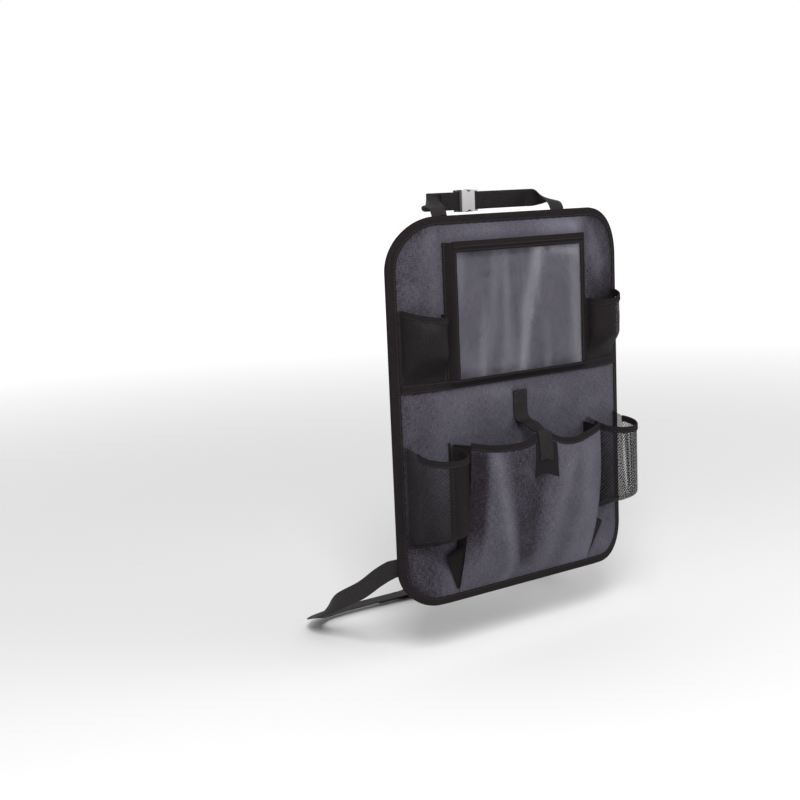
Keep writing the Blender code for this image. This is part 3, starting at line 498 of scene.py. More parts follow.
# %% Black cloth, lining and foam
def dark_cloth(name, low, high, pitch, roughness):
    """A plain black weave whose threads catch a little light."""
    material, tree, shader, uv = new_material(name)
    threads = use_group(tree, weave, uv, Pitch=pitch)
    flecks = use_group(tree, yarn, uv)
    tone = weigh(tree, (threads["Height"], 0.55), (flecks["Cloud"], 0.45))
    set_tones(tree, shader, tone, low, high, (flecks["Fleck"], 0.15, roughness), 0.06)
    add_bump(tree, shader, threads["Height"], 0.0003)
    return material


BLACK_CLOTH = dark_cloth("black_cloth", (0.004, 0.003, 0.003), (0.020, 0.016, 0.018), 0.0009, 0.72)

LOOP_CLOTH, tree, shader, uv = new_material("black_loop_patch")
pile = stretched_noise(tree, uv, 0.0007, 0.0007, 4.0)
set_tones(tree, shader, pile, (0.002, 0.002, 0.002), (0.030, 0.026, 0.027), (pile, 0.1, 0.88), 0.05)
add_bump(tree, shader, pile, 0.0008, 1.0)

LINING, tree, shader, uv = new_material("black_lining")
press = use_group(tree, netting, uv, Pitch=0.0030, Hole=0.30)
fibres = stretched_noise(tree, uv, 0.0025, 0.0008, 4.0)
dusty = maths(tree, "MULTIPLY_ADD", stretched_noise(tree, uv, 0.050, 0.050, 3.0), 2.0, -0.7, clamp=True)
tone = weigh(tree, (press["Alpha"], 0.2), (fibres, 0.4), (dusty, 0.4))
set_tones(tree, shader, tone, (0.005, 0.005, 0.006), (0.050, 0.047, 0.050), (fibres, 0.2, 0.70), 0.25)
add_bump(tree, shader, maths(tree, "MULTIPLY_ADD", fibres, 0.4, press["Alpha"]), 0.0003)

FOAM, tree, shader, uv = new_material("foam_sheet")
pores = put(tree, "ShaderNodeTexVoronoi")
pores.inputs["Scale"].default_value = 900.0
tree.links.new(uv, pores.inputs["Vector"])
pore = pores.outputs["Distance"]
set_tones(tree, shader, pore, (0.42, 0.42, 0.40), (0.66, 0.66, 0.63), (pore, 0.1, 0.85))
add_bump(tree, shader, pore, 0.0004)
print(BLACK_CLOTH.name, LINING.name, LOOP_CLOTH.name, FOAM.name)


# %% Tape, elastic and webbing
def ribbed(name, low, high, pitch, roughness, depth):
    """Woven tape whose ribs run across it."""
    material, tree, shader, uv = new_material(name)
    tape = use_group(tree, ribs, uv, Pitch=pitch)
    set_tones(tree, shader, tape["Shade"], low, high, (tape["Shade"], 0.2, roughness), 0.06)
    add_bump(tree, shader, tape["Height"], depth)
    return material


BLACK_TAPE = ribbed("black_binding_tape", (0.005, 0.004, 0.004), (0.020, 0.016, 0.018), 0.0016, 0.66, 0.0003)
BLACK_ELASTIC = ribbed("black_elastic", (0.003, 0.003, 0.003), (0.022, 0.018, 0.020), 0.0010, 0.66, 0.0003)
THREAD = ribbed("black_thread", (0.012, 0.011, 0.012), (0.075, 0.070, 0.078), 0.0004, 0.50, 0.0001)

WEBBING, tree, shader, uv = new_material("black_webbing")
threads = use_group(tree, weave, uv, Pitch=0.0019)
flecks = use_group(tree, yarn, uv)
tone = weigh(tree, (threads["Height"], 0.7), (flecks["Fleck"], 0.3))
set_tones(tree, shader, tone, (0.003, 0.003, 0.003), (0.030, 0.025, 0.027), (tone, -0.15, 0.68), 0.10)
add_bump(tree, shader, threads["Height"], 0.0006, 0.8)
print(BLACK_TAPE.name, BLACK_ELASTIC.name, WEBBING.name)


# %% Net and clear film
def net_material(name, pitch, hole):
    """Black net that is solid on its yarn and open in its holes."""
    material, tree, shader, uv = new_material(name)
    knit = use_group(tree, netting, uv, Pitch=pitch, Hole=hole)
    cloud = use_group(tree, yarn, uv)["Cloud"]
    set_tones(tree, shader, cloud, (0.005, 0.004, 0.004), (0.026, 0.021, 0.022), (cloud, 0.2, 0.5), 0.12)
    tree.links.new(knit["Alpha"], shader.inputs["Alpha"])
    add_bump(tree, shader, knit["Height"], 0.0004)
    return material


UPPER_NET = net_material("fine_black_net", 0.0020, 0.33)
BOTTLE_NET = net_material("open_black_net", 0.0030, 0.40)

CLEAR_FILM, tree, shader, uv = new_material("clear_film")
haze = stretched_noise(tree, uv, 0.040, 0.060, 1.0)
# The long streaks paint pale highlight bands into the film's opacity.
painted_streaks = stretched_noise(tree, uv, 0.030, 0.260, 1.0)
scuffs = stretched_noise(tree, uv, 0.0008, 0.020, 2.0)
side_on = put(tree, "ShaderNodeLayerWeight").outputs["Facing"]
# The mesh value paints reflections into the opacity; the fine scuffs are wear.
scuffs_and_painted_reflection = read_value(tree, "painted_reflection")
for mask, clear, share in ((painted_streaks, 0.50, 0.25), (scuffs, 0.66, 0.15)):
    scuffs_and_painted_reflection = maths(tree, "MULTIPLY_ADD", maths(tree, "SUBTRACT", mask, clear, clamp=True), share, scuffs_and_painted_reflection)
# Opacity rises at grazing angles, which paints a reflection there.
grazing = maths(tree, "MULTIPLY_ADD", maths(tree, "POWER", side_on, 4.0), 0.6, 0.008)
tree.links.new(maths(tree, "ADD", scuffs_and_painted_reflection, grazing, clamp=True), shader.inputs["Alpha"])
set_tones(tree, shader, haze, (0.44, 0.43, 0.49), (0.62, 0.62, 0.69), (haze, 0.16, 0.10))
for label, value in (("IOR", 1.5), ("Coat Weight", 0.6), ("Coat Roughness", 0.08)):
    shader.inputs[label].default_value = value
add_bump(tree, shader, haze, 0.0020, 0.2)
print(UPPER_NET.name, BOTTLE_NET.name, CLEAR_FILM.name)


# %% Moulded plastic
def plastic(name, low, high, roughness):
    """Moulded plastic with a fine spark-eroded grain and paler worn patches."""
    material, tree, shader, _ = new_material(name)
    place = put(tree, "ShaderNodeTexCoord").outputs["Object"]
    grain = stretched_noise(tree, place, 0.0004, 0.0004, 3.0)
    patches = stretched_noise(tree, place, 0.006, 0.006, 3.0)
    tone = weigh(tree, (patches, 0.7), (grain, 0.3))
    set_tones(tree, shader, tone, low, high, (patches, 0.15, roughness))
    add_bump(tree, shader, grain, 0.0001, 0.5)
    return material


BLACK_PLASTIC = plastic("black_plastic", (0.006, 0.006, 0.006), (0.030, 0.029, 0.030), 0.34)
PAINTED_REFLECTION_PLASTIC = plastic("pale_plastic", (0.36, 0.35, 0.36), (0.56, 0.55, 0.56), 0.30)
print(BLACK_PLASTIC.name, PAINTED_REFLECTION_PLASTIC.name)


# %% [markdown]
# ## Stitches
# One stitch is a grain of thread, thicker in the middle and pressed down at both ends. It is made
# once from a UV sphere with few faces. A seam is a row of copies laid end to end along a line, as
# a sewing machine does, and each seam is one mesh of its own.

# %% One stitch
bpy.ops.object.select_all(action="DESELECT")
bpy.ops.mesh.primitive_uv_sphere_add(segments=6, ring_count=5, radius=0.5)
grain_piece = bpy.context.object
edit_all(
    grain_piece, bpy.ops.transform.rotate, value=math.pi / 2, orient_axis="Y", center_override=(0.0, 0.0, 0.0)
)
grain_points = np.array([vert.co for vert in grain_piece.data.vertices])
grain_faces = [tuple(polygon.vertices) for polygon in grain_piece.data.polygons]
bpy.data.objects.remove(grain_piece)
STITCH_L, STITCH_GAP, STITCH_W = 0.0030, 0.0011, 0.0007
print("one stitch has", len(grain_faces), "faces")


# %% A seam of stitches
def even_points(line, step):
    """Points at an even step along a line of (point, outward), with the way ahead at each."""
    points = np.array([point for point, _ in line])
    outs = np.array([out for _, out in line])
    lengths = run_along(points)
    count = max(1, int(lengths[-1] / step))
    at = (np.arange(count) + 0.5) * lengths[-1] / count
    def pick(values, where):
        return np.stack([np.interp(where, lengths, values[:, axis]) for axis in range(3)], axis=1)
    ahead = pick(points, at + step * 0.3) - pick(points, at - step * 0.3)
    return pick(points, at), ahead / np.linalg.norm(ahead, axis=1)[:, None], pick(outs, at)


def sew(name, lines):
    """One mesh of stitches along one or more lines of (point, outward)."""
    verts, faces = [], []
    for line in lines:
        for point, ahead, out in zip(*even_points(line, STITCH_L + STITCH_GAP)):
            out = out - ahead * out.dot(ahead)
            out /= np.linalg.norm(out)
            side = np.cross(out, ahead)
            first = len(verts)
            for x, y, z in grain_points:
                verts.append(point + ahead * x * STITCH_L + side * y * STITCH_W + out * (z * STITCH_W * 0.8))
            faces += [[first + i for i in face] for face in grain_faces]
    mesh = bpy.data.meshes.new(name)
    mesh.from_pydata([tuple(vert) for vert in verts], [], faces)
    piece = bpy.data.objects.new(name, mesh)
    bpy.context.scene.collection.objects.link(piece)
    layer = mesh.uv_layers.new(name="UVMap")
    for loop in mesh.loops:
        co = mesh.vertices[loop.vertex_index].co
        layer.data[loop.index].uv = (co.x + co.y, co.z)
    edit_all(piece, bpy.ops.mesh.normals_make_consistent, inside=False)
    bpy.ops.object.shade_smooth()
    print(name, len(faces) // len(grain_faces), "stitches")
    finish_piece(piece, THREAD)


# %% [markdown]
# ## The panel
# The panel is three layers: grey cloth in front, a thin foam sheet, and a black lining behind. The
# cloth isn't flat. The binding's stitches pucker it at the edge, and a few slow waves and creases
# run across it where nothing is sewn. Those are worked out as a height for each point.

# %% Where the cloth may move
CLEAR, EASE = 0.001, 0.012


def sewn_down(x, z):
    """0 where something is sewn onto the cloth, rising to 1 where it lies free."""
    free = smooth_step((INNER_EDGE - CLEAR - abs(x)) / EASE)
    edge = abs(z) - (PANEL_H / 2 - BINDING_W - CLEAR)
    free *= smooth_step(-edge / EASE)
    radius = TOP_R if z > 0 else BOTTOM_R
    over_x = abs(x) - (PANEL_W / 2 - radius)
    over_z = abs(z) - (PANEL_H / 2 - radius)
    if over_x > 0 and over_z > 0:
        free *= smooth_step((radius - BINDING_W - CLEAR - math.hypot(over_x, over_z)) / EASE)
    if z > FRAME_BOTTOM - CLEAR:
        free *= smooth_step(abs(abs(x) - FRAME_W / 2 - CLEAR) / 0.014)
    free *= smooth_step((abs(z - FRAME_BOTTOM - SEAM_TAPE_H / 2) - SEAM_TAPE_H / 2 - CLEAR) / 0.010)
    if z < POCKET_TOP:
        free *= smooth_step(abs(abs(x) - POCKET_W / 2 - 0.003) / EASE)
        free *= smooth_step(abs(z - BOTTLE_BOTTOM - 0.004) / 0.014) if abs(x) > POCKET_W / 2 else 1.0
    if abs(x) < 0.02 and z > POCKET_TOP:
        free *= smooth_step((abs(x) - 0.0125) / 0.006) if z < POCKET_TOP + 0.062 else 1.0
    return free


def near_line(x, z, start, end, width):
    """How near a point is to a line between two points: 1 on it, 0 well off it."""
    a, b, p = Vector(start), Vector(end), Vector((x, z))
    along = min(1.0, max(0.0, (p - a).dot(b - a) / (b - a).length_squared))
    off = (p - a - (b - a) * along).length / width
    return math.exp(-off * off)


CREASES = (
    (1.3, (0.093, 0.262), (0.113, 0.234), 0.0050),
    (1.0, (0.142, 0.238), (0.166, 0.186), 0.0090),
    (0.5, (-0.150, 0.240), (-0.172, 0.160), 0.0100),
    (0.6, (-0.060, 0.020), (0.070, 0.004), 0.0090),
    (0.6, (-0.165, -0.200), (-0.130, -0.235), 0.0080),
)


def panel_fold(x, z):
    """How far the cloth stands off its foam."""
    puckers = 0.5 + 0.5 * ripple(x * 2.2, z * 2.2, 0.030, 3.0)
    slow = 0.5 + 0.5 * ripple(x, z, 0.085, 7.0)
    crease = sum(share * near_line(x, z, *line) for share, *line in CREASES)
    return sewn_down(x, z) * (0.0004 * puckers + 0.0012 * slow + 0.0016 * crease)


print("free height in the open", round(panel_fold(0.0, 0.015) * 1000, 2), "mm")


# %% Panel face
def outline_z(x, inset, radius):
    """Half the panel's height at x, for a corner of this radius."""
    half, corner = PANEL_W / 2 - inset, radius - inset
    into = max(0.0, abs(x) - (half - corner))
    return PANEL_H / 2 - inset - corner + math.sqrt(max(0.0, corner * corner - into * into))


def panel_columns():
    """Where the panel is sampled from side to side: finely round its corners."""
    half, radius = PANEL_W / 2 - EDGE_INSET, TOP_R - EDGE_INSET
    corner = [half - radius + radius * math.sin(math.radians(a)) for a in range(5, 91, 5)]
    right = spread(0.0, half - radius, 32)[1:] + corner
    return mirrored(right)


def panel_flat(x, v):
    """The panel as cut: x, and v from 0 at its lower edge to 1 at its upper edge."""
    high, low = outline_z(x, EDGE_INSET, TOP_R), -outline_z(x, EDGE_INSET, BOTTOM_R)
    return (x, low + (high - low) * v)


def panel_point(depth, fold):
    def place(x, v):
        x, z = panel_flat(x, v)
        return Vector((x, depth + panel_y(x) - fold(x, z), z))
    return place


def panel_painted_shading(co):
    """Painted light and shade: paler on folds and lit patches, darker by the pockets and on the sides."""
    x, z = co.x, co.z
    # Each term paints light or shade into the colour: highlights on folds and lit patches, shade where the
    # cloth turns away.
    value = 55.0 * panel_fold(x, z) - 0.03
    value += 0.08 * smooth_step((z - 0.215) / 0.03) * smooth_step((0.15 - abs(x - 0.02)) / 0.05)
    value += 0.15 * near_line(x, z, (0.070, 0.246), (0.104, 0.238), 0.020)
    if z > FRAME_BOTTOM:
        value -= 0.13 * smooth_step((abs(x) - 0.120) / 0.04) * smooth_step((0.185 - z) / 0.10)
    value -= 0.17 * smooth_step((x - 0.118) / 0.03) * smooth_step((z - 0.02) / 0.10)
    value += 0.08 * near_line(x, z, (0.140, 0.215), (0.160, 0.170), 0.009)
    value -= 0.09 * smooth_step((-0.138 - x) / 0.03)
    value -= 0.08 * smooth_step((-0.120 - x) / 0.03) * smooth_step((-0.150 - z) / 0.04)
    return value


panel_face = lay_grid(
    "panel_face", panel_columns(), spread(0.0, 1.0, 110), panel_point(FACE_Y, panel_fold), panel_flat
)
face_towards(panel_face, FRONT)
thicken(panel_face, FABRIC_T)
# This value holds painted light and shade for the grey cloth.
write_value(panel_face, "painted_shading", [panel_painted_shading(vert.co) for vert in panel_face.data.vertices])
finish_piece(panel_face, GREY_CLOTH, "front_fabric")


# %% Foam sheet and lining
PINCH, FOAM_GIVE = 0.0005, 0.0006


def back_pinch(x, z):
    """The lining is pressed in along its top and bottom edges, and waves a little where it is free."""
    free = smooth_step((0.198 - abs(x)) / 0.02) * smooth_step((0.205 - abs(z)) / 0.02)
    wave = PINCH * free * smooth_step(0.5 + 0.5 * ripple(x, z, 0.045, 31.0))
    return PINCH * (smooth_step((z - 0.2095) / 0.001) + smooth_step((-z - 0.2445) / 0.001)) + wave


levels = [0.0] + spread(0.03, 0.91, 12) + [1.0]
foam_sheet = lay_grid(
    "foam_sheet", panel_columns()[::2], levels, panel_point(FABRIC_BACK + GAP, lambda x, z: 0.0), panel_flat
)
face_towards(foam_sheet, FRONT)
thicken(foam_sheet, CORE_T - FOAM_GIVE)
finish_piece(foam_sheet, FOAM, "foam_core")

lining = lay_grid("lining", panel_columns(), spread(0.0, 1.0, 60), panel_point(0.0, back_pinch), panel_flat)
face_towards(lining, (0, 1, 0))
thicken(lining, LINING_T)
finish_piece(lining, LINING, "back_lining")


# %% [markdown]
# ## The binding
# A tape is folded over the raw edge of the panel and sewn through. In section it is a narrow U.
# The grid runs once round the panel one way, and across the folded tape the other way. Its two
# ends meet, so their doubles are merged before the tape gets its thickness. The tape puckers a
# little between its stitches.

# %% Outline of the panel
def outline_path():
    """The outline as (x, z, outward x, outward z), once round."""
    path = []
    corners = (
        (1, 1, TOP_R, 90, 0), (1, -1, BOTTOM_R, 0, -90),
        (-1, -1, BOTTOM_R, -90, -180), (-1, 1, TOP_R, 180, 90),
    )
    for k, (side, up, radius, start, end) in enumerate(corners):
        cx, cz = side * (PANEL_W / 2 - radius), up * (PANEL_H / 2 - radius)
        for angle in spread(start, end, 24):
            nx, nz = math.cos(math.radians(angle)), math.sin(math.radians(angle))
            path.append((cx + radius * nx, cz + radius * nz, nx, nz))
        x, z, nx, nz = path[-1]
        side, up, radius, start, _ = corners[(k + 1) % 4]
        to_x = side * (PANEL_W / 2 - radius) + radius * math.cos(math.radians(start))
        to_z = up * (PANEL_H / 2 - radius) + radius * math.sin(math.radians(start))
        steps = round(math.hypot(to_x - x, to_z - z) / 0.006)
        for f in spread(0.0, 1.0, steps)[1:-1]:
            path.append((x + (to_x - x) * f, z + (to_z - z) * f, nx, nz))
    return path


border = outline_path()
border_length = [0.0]
for here, there in zip(border, border[1:] + border[:1]):
    border_length.append(border_length[-1] + math.hypot(there[0] - here[0], there[1] - here[1]))
print("the edge is", round(border_length[-1], 3), "m round")


# %% Folded tape round the panel
def fold_profile(leg, front, back, round_off):
    """A folded tape in section: (inwards from the edge, depth), from its front leg to its back leg."""
    middle, half = (front + back) / 2, (back - front) / 2
    profile = [(a, front) for a in spread(leg, round_off, 4)[:-1]]
    for angle in spread(-90, 90, 6):
        a = math.radians(angle)
        profile.append((round_off * (1 - math.cos(a)), middle + half * math.sin(a)))
    return profile + [(a, back) for a in spread(round_off, leg, 4)[1:]]


BINDING_FRONT = FACE_Y - GAP - TAPE_T
BORDER_SEAM, TAPE_LIFT, TAPE_GIVE = 0.0098, 0.00005, 0.0001
PUCKER, PUCKER_PITCH = 0.00022, 0.0105
binding_profile = fold_profile(BINDING_W, BINDING_FRONT, BINDING_BACK, 0.0022)


def binding_point(i, j):
    x, z, nx, nz = border[i % len(border)]
    inward, y = binding_profile[j]
    pucker = PUCKER * math.sin(border_length[i % len(border)] * 2 * math.pi / PUCKER_PITCH)
    if inward > 0.009:
        inward += pucker * 2
    px = x - nx * inward
    return Vector((px, y + panel_y(px), z - nz * inward))


edge_tape = lay_grid(
    "edge_tape", list(range(len(border) + 1)), list(range(len(binding_profile))), binding_point,
    lambda i, j: (border_length[i], j * 0.002),
)
edit_all(edge_tape, bpy.ops.mesh.remove_doubles, threshold=0.00001)
face_towards(edge_tape, FRONT, first=len(border))
thicken(edge_tape, TAPE_T - TAPE_GIVE)
finish_piece(edge_tape, BLACK_TAPE, "edge_binding")


def border_line(y):
    """Once round the binding, on its front or its back."""
    line = []
    for x, z, nx, nz in border + border[:1]:
        px = x - nx * BORDER_SEAM
        line.append(((px, y + panel_y(px), z - nz * BORDER_SEAM), (0.0, math.copysign(1.0, y), 0.0)))
    return line


sew("edge_stitches", [border_line(BINDING_FRONT - TAPE_LIFT), border_line(BINDING_BACK + TAPE_LIFT)])

# %% [markdown]
# ## The tablet pocket
# A black frame is sewn to the panel at its sides and foot, and it is open at the top. It rises
# over a short ramp to leave room for a tablet. A clear film is sewn behind its window. The frame
# starts as one grid, whose faces in the window are then deleted.

# %% Frame
def frame_lift(x, z):
    """How far the pocket stands out from its sewn edges."""
    side = smooth_step((FRAME_W / 2 - abs(x)) / RAMP_W)
    foot = smooth_step((z - FRAME_BOTTOM) / (SEAM_TAPE_H - 0.001))
    return TABLET_ROOM * side * foot


FRAME_FRONT = FACE_Y - GAP - FRAME_T
WINDOW_BOTTOM = FRAME_BOTTOM + SEAM_TAPE_H
ramp = spread(FRAME_W / 2 - RAMP_W, FRAME_W / 2, 8)
frame_right = spread(0.0, WINDOW_W / 2, 20)[1:] + spread(WINDOW_W / 2, ramp[0], 2)[1:-1] + ramp
frame_xs = mirrored(frame_right)
frame_zs = spread(FRAME_BOTTOM, WINDOW_BOTTOM, 8)
frame_zs += spread(WINDOW_BOTTOM, WINDOW_TOP, 30)[1:] + spread(WINDOW_TOP, FRAME_TOP, 4)[1:]


def frame_wave(x, z):
    """The free front of the pocket is a little uneven."""
    held = smooth_step((FRAME_W / 2 - abs(x)) / RAMP_W) * smooth_step((z - WINDOW_BOTTOM) / 0.02)
    return 0.0006 * held * (0.5 + 0.5 * ripple(x, z, 0.045, 11.0))


def frame_point(x, z):
    return Vector((x, FRAME_FRONT + panel_y(x) - frame_lift(x, z) - frame_wave(x, z), z))


tablet_frame = lay_grid("tablet_frame", frame_xs, frame_zs, frame_point)
face_towards(tablet_frame, FRONT)
pick_faces(tablet_frame, lambda at: abs(at.x) < WINDOW_W / 2 and WINDOW_BOTTOM < at.z < WINDOW_TOP)
bpy.ops.mesh.delete(type="FACE")
bpy.ops.object.mode_set(mode="OBJECT")
thicken(tablet_frame, FRAME_T)
finish_piece(tablet_frame, BLACK_CLOTH, "tablet_pocket_frame")

# %% Clear film
FILM_Y = FRAME_FRONT - TABLET_ROOM + FRAME_T + GAP
FILM_T, FILM_LAP = 0.0005, 0.0045
FILM_REACH = WINDOW_W / 2 + FILM_LAP


def film_point(x, z):
    """The film hangs behind the frame. It buckles a little towards its upper right corner."""
    inside = smooth_step((WINDOW_W / 2 - abs(x)) / 0.03) * smooth_step((z - WINDOW_BOTTOM) / 0.03)
    inside *= smooth_step((WINDOW_TOP - z) / 0.02)
    buckle = near_line(x, z, (0.050, 0.217), (0.105, 0.150), 0.014)
    buckle += 0.6 * near_line(x, z, (0.085, 0.215), (0.108, 0.190), 0.008)
    wave = 0.5 * ripple(x, z, 0.060, 17.0)
    return Vector((x, FILM_Y + inside * (0.0008 * wave - 0.0016 * buckle), z))


film_zs = spread(WINDOW_BOTTOM + GAP, WINDOW_TOP + FILM_LAP, 46)
film = lay_grid("clear_window", spread(-FILM_REACH, FILM_REACH, 60), film_zs, film_point)
face_towards(film, FRONT)
thicken(film, FILM_T)


def film_painted_reflection(co):
    """Painted reflection: the film is more opaque in a band down its middle, along its upper right corner and
    towards its right side.
    """
    x, z = co.x, co.z
    band = near_line(x, z, (0.036, 0.222), (0.012, 0.130), 0.012)
    band += near_line(x, z, (0.012, 0.130), (0.000, 0.050), 0.009)
    corner = 0.7 * near_line(x, z, (0.062, 0.214), (0.104, 0.208), 0.007)
    side = smooth_step((x - 0.082) / 0.03)
    return 0.10 * min(1.0, band) + 0.10 * corner + 0.09 * side


# This value paints reflections into the film's opacity.
write_value(film, "painted_reflection", [film_painted_reflection(vert.co) for vert in film.data.vertices])
finish_piece(film, CLEAR_FILM, "tablet_pocket_window")


# %% [markdown]
# ## Bindings on free rims
# The top edges of the pockets are each closed by a folded tape, or by a fold-over elastic on a
# net. One function makes them all. It takes the last rows of the sheet, finds the way down and the
# way out at each point, and folds the tape's section over the rim.

# %% Folded tape on a rim
def as_grid(rows):
    return np.array([[list(point) for point in row] for row in rows])


def sheet_normals(rows):
    """The way out to the front at each point of a sheet's rows."""
    grid = as_grid(rows)
    normals = np.cross(np.gradient(grid, axis=1), np.gradient(grid, axis=0))
    normals /= np.linalg.norm(normals, axis=2)[:, :, None]
    return -normals if (normals.mean(axis=(0, 1)) * np.array(FRONT)).sum() < 0 else normals


TAPE_SEAM = 0.0018


def rim_tape(name, rows, normals, sheet_t, leg, tape_t, material, *nodes):
    """Tape folded over the sheet's last row. Rows run up to the rim. Returns its stitch line."""
    front, back = GAP + tape_t, -(sheet_t + GAP + tape_t)
    profile = fold_profile(leg, -front, -back, 0.0016)
    below, rim = as_grid(rows[-2:])
    down = below - rim
    down /= np.linalg.norm(down, axis=1)[:, None]
    over = tape_t + GAP

    def place(i, j):
        inward, depth = profile[j]
        wave = 0.00018 * math.sin(i * 1.9) if inward > leg - 0.001 else 0.0
        point = rim[i] + down[i] * (inward - over + wave) - normals[-1][i] * depth
        return Vector(point)

    lengths = run_along(rim)
    tape = lay_grid(
        name, list(range(len(rim))), list(range(len(profile))), place, lambda i, j: (lengths[i], j * 0.002)
    )
    face_towards(tape, Vector(normals[-1].mean(axis=0)), first=len(rim) - 1)
    thicken(tape, tape_t - TAPE_GIVE)
    finish_piece(tape, material, *nodes)
    seam_at = leg - over - TAPE_SEAM
    return [(a + b * seam_at + out * (front + TAPE_LIFT), out) for a, b, out in zip(rim, down, normals[-1])]


rim_xs = [x for x in frame_xs if abs(x) < FRAME_W / 2 - RAMP_W + 0.000001]
rim_rows = [[frame_point(x, z) for x in rim_xs] for z in (FRAME_TOP - 0.018, FRAME_TOP)]
frame_rim_line = rim_tape(
    "tablet_pocket_tape", rim_rows, sheet_normals(rim_rows), FRAME_T, 0.009, TAPE_T, BLACK_TAPE,
    "tablet_pocket_binding",
)

# %% Seam tape across the panel
TAPE_FRONT = FACE_Y - 2 * GAP - FRAME_T - TAPE_T
tape_end = INNER_EDGE - 2 * GAP
tape_right = frame_right + spread(FRAME_W / 2, tape_end, 14)[1:]
tape_xs = mirrored(tape_right)


def tape_point(x, z):
    return Vector((x, TAPE_FRONT + panel_y(x) - frame_lift(x, z), z))


seam = lay_grid("seam_tape_across", tape_xs, spread(FRAME_BOTTOM, FRAME_BOTTOM + SEAM_TAPE_H, 8), tape_point)
face_towards(seam, FRONT)
thicken(seam, TAPE_T)
finish_piece(seam, BLACK_TAPE, "seam_tape")

# %% Stitches of the tablet pocket
FRAME_SEAM, WINDOW_SEAM = 0.0022, 0.0026


def on_front(point, lift=THREAD_LIFT):
    """A stitch line's (point, outward) just off a front face."""
    return point + Vector((0, -lift, 0)), FRONT


def frame_side_line(side):
    x = side * (FRAME_W / 2 - FRAME_SEAM)
    return [on_front(frame_point(x, z)) for z in spread(WINDOW_BOTTOM + 0.002, FRAME_TOP - 0.001, 60)]


def window_line():
    reach, low, high = WINDOW_W / 2 + WINDOW_SEAM, WINDOW_BOTTOM + 0.0010, WINDOW_TOP + WINDOW_SEAM
    sides = [[(-reach, z) for z in spread(low, high, 40)], [(x, high) for x in spread(-reach, reach, 60)]]
    sides.append([(reach, z) for z in spread(high, low, 40)])
    return [[on_front(frame_point(x, z)) for x, z in side] for side in sides]


def seam_line(z):
    return [on_front(tape_point(x, z)) for x in tape_xs]


sew("tablet_pocket_stitches", [frame_side_line(-1), frame_side_line(1), frame_rim_line] + window_line())
sew("seam_tape_stitches", [seam_line(FRAME_BOTTOM + a) for a in (TAPE_SEAM, SEAM_TAPE_H - TAPE_SEAM)])


# %% [markdown]
# ## The net pockets
# Each upper net is a shallow bag beside the tablet pocket. Each lower net is a round bag that
# holds a bottle upright: seen from above it is most of a circle, and its foot is sewn flat. The
# nets are grids too, and their holes are in the material, so that they stay light to draw.

# %% Upper nets
HEM, NET_THREAD_LIFT = 0.003, 0.0002


def upper_net_rows(side):
    outer, inner = INNER_EDGE - 2 * GAP, FRAME_W / 2 + 0.001
    sewn = FACE_Y - GAP - NET_T
    lift_off = FRAME_BOTTOM + SEAM_TAPE_H + 0.001
    middle, half = (outer + inner) / 2, (outer - inner) / 2 - HEM
    turns = 28
    across = [outer] + [middle + half * math.cos(math.pi * i / turns) for i in range(turns + 1)] + [inner]
    bulge = [0.0] + [math.sin(math.pi * i / turns) ** 0.8 for i in range(turns + 1)] + [0.0]
    rows = []
    for f in [None] + spread(0.0, 1.0, 22):
        row = []
        for x, b in zip(across, bulge):
            share = (x - inner) / (outer - inner)
            top = UPPER_NET_TOP - 0.010 * (1 - share) - 0.006 * b
            z = FRAME_BOTTOM + 2 * GAP if f is None else lift_off + (top - lift_off) * f
            rise = 0.0 if f is None else smooth_step(f / 0.45) * UPPER_NET_DEPTH * b
            slack = 0.0 if f is None else 0.0010 * b * math.sin(math.pi * f) * ripple(x, z, 0.025, 5.0 + side)
            row.append(Vector((side * x, sewn + panel_y(x) - rise - slack, z)))
        rows.append(row)
    return rows


def grid_from_rows(name, rows, width, thickness, material, *nodes):
    """A sheet through rows of points, which was cut to this width."""
    wide, high = len(rows[0]) - 1, len(rows) - 1
    grid = as_grid(rows)
    run_u, run_v = run_along(grid, 1), run_along(grid, 0)
    middle = run_u[:, wide // 2]
    piece = lay_grid(
        name, list(range(wide + 1)), list(range(high + 1)), lambda i, j: rows[j][i],
        lambda i, j: (run_u[j][i] - middle[j] + width / 2, run_v[j][i]),
    )
    face_towards(piece, FRONT)
    thicken(piece, thickness)
    return finish_piece(piece, material, *nodes)


def elastic_rim(name, rows, lift, *nodes):
    """Fold-over elastic on a net's free rim, where the net stands clear of the panel."""
    normals = sheet_normals(rows)
    kept = [j for j, point in enumerate(rows[-1]) if FACE_Y + panel_y(point.x) - point.y > lift]
    first, last = kept[0], kept[-1] + 1
    return rim_tape(
        name, [row[first:last] for row in rows[-2:]], normals[-2:, first:last], NET_T, ELASTIC_W, ELASTIC_T,
        BLACK_ELASTIC, *nodes,
    )


nets, net_stitches = [], []
for word, side in (("left", -1), ("right", 1)):
    rows = upper_net_rows(side)
    nets.append(grid_from_rows(f"upper_{word}_net", rows, 0.115, NET_T, UPPER_NET, f"upper_{word}_pocket"))
    net_stitches.append(elastic_rim(f"upper_{word}_elastic_rim", rows, 0.004, f"upper_{word}_elastic"))
    for column, inset in ((0, -0.0012), (-1, 0.0012)):
        inwards = Vector((side * inset, 0, 0))
        net_stitches.append([on_front(row[column] + inwards, NET_THREAD_LIFT) for row in rows])


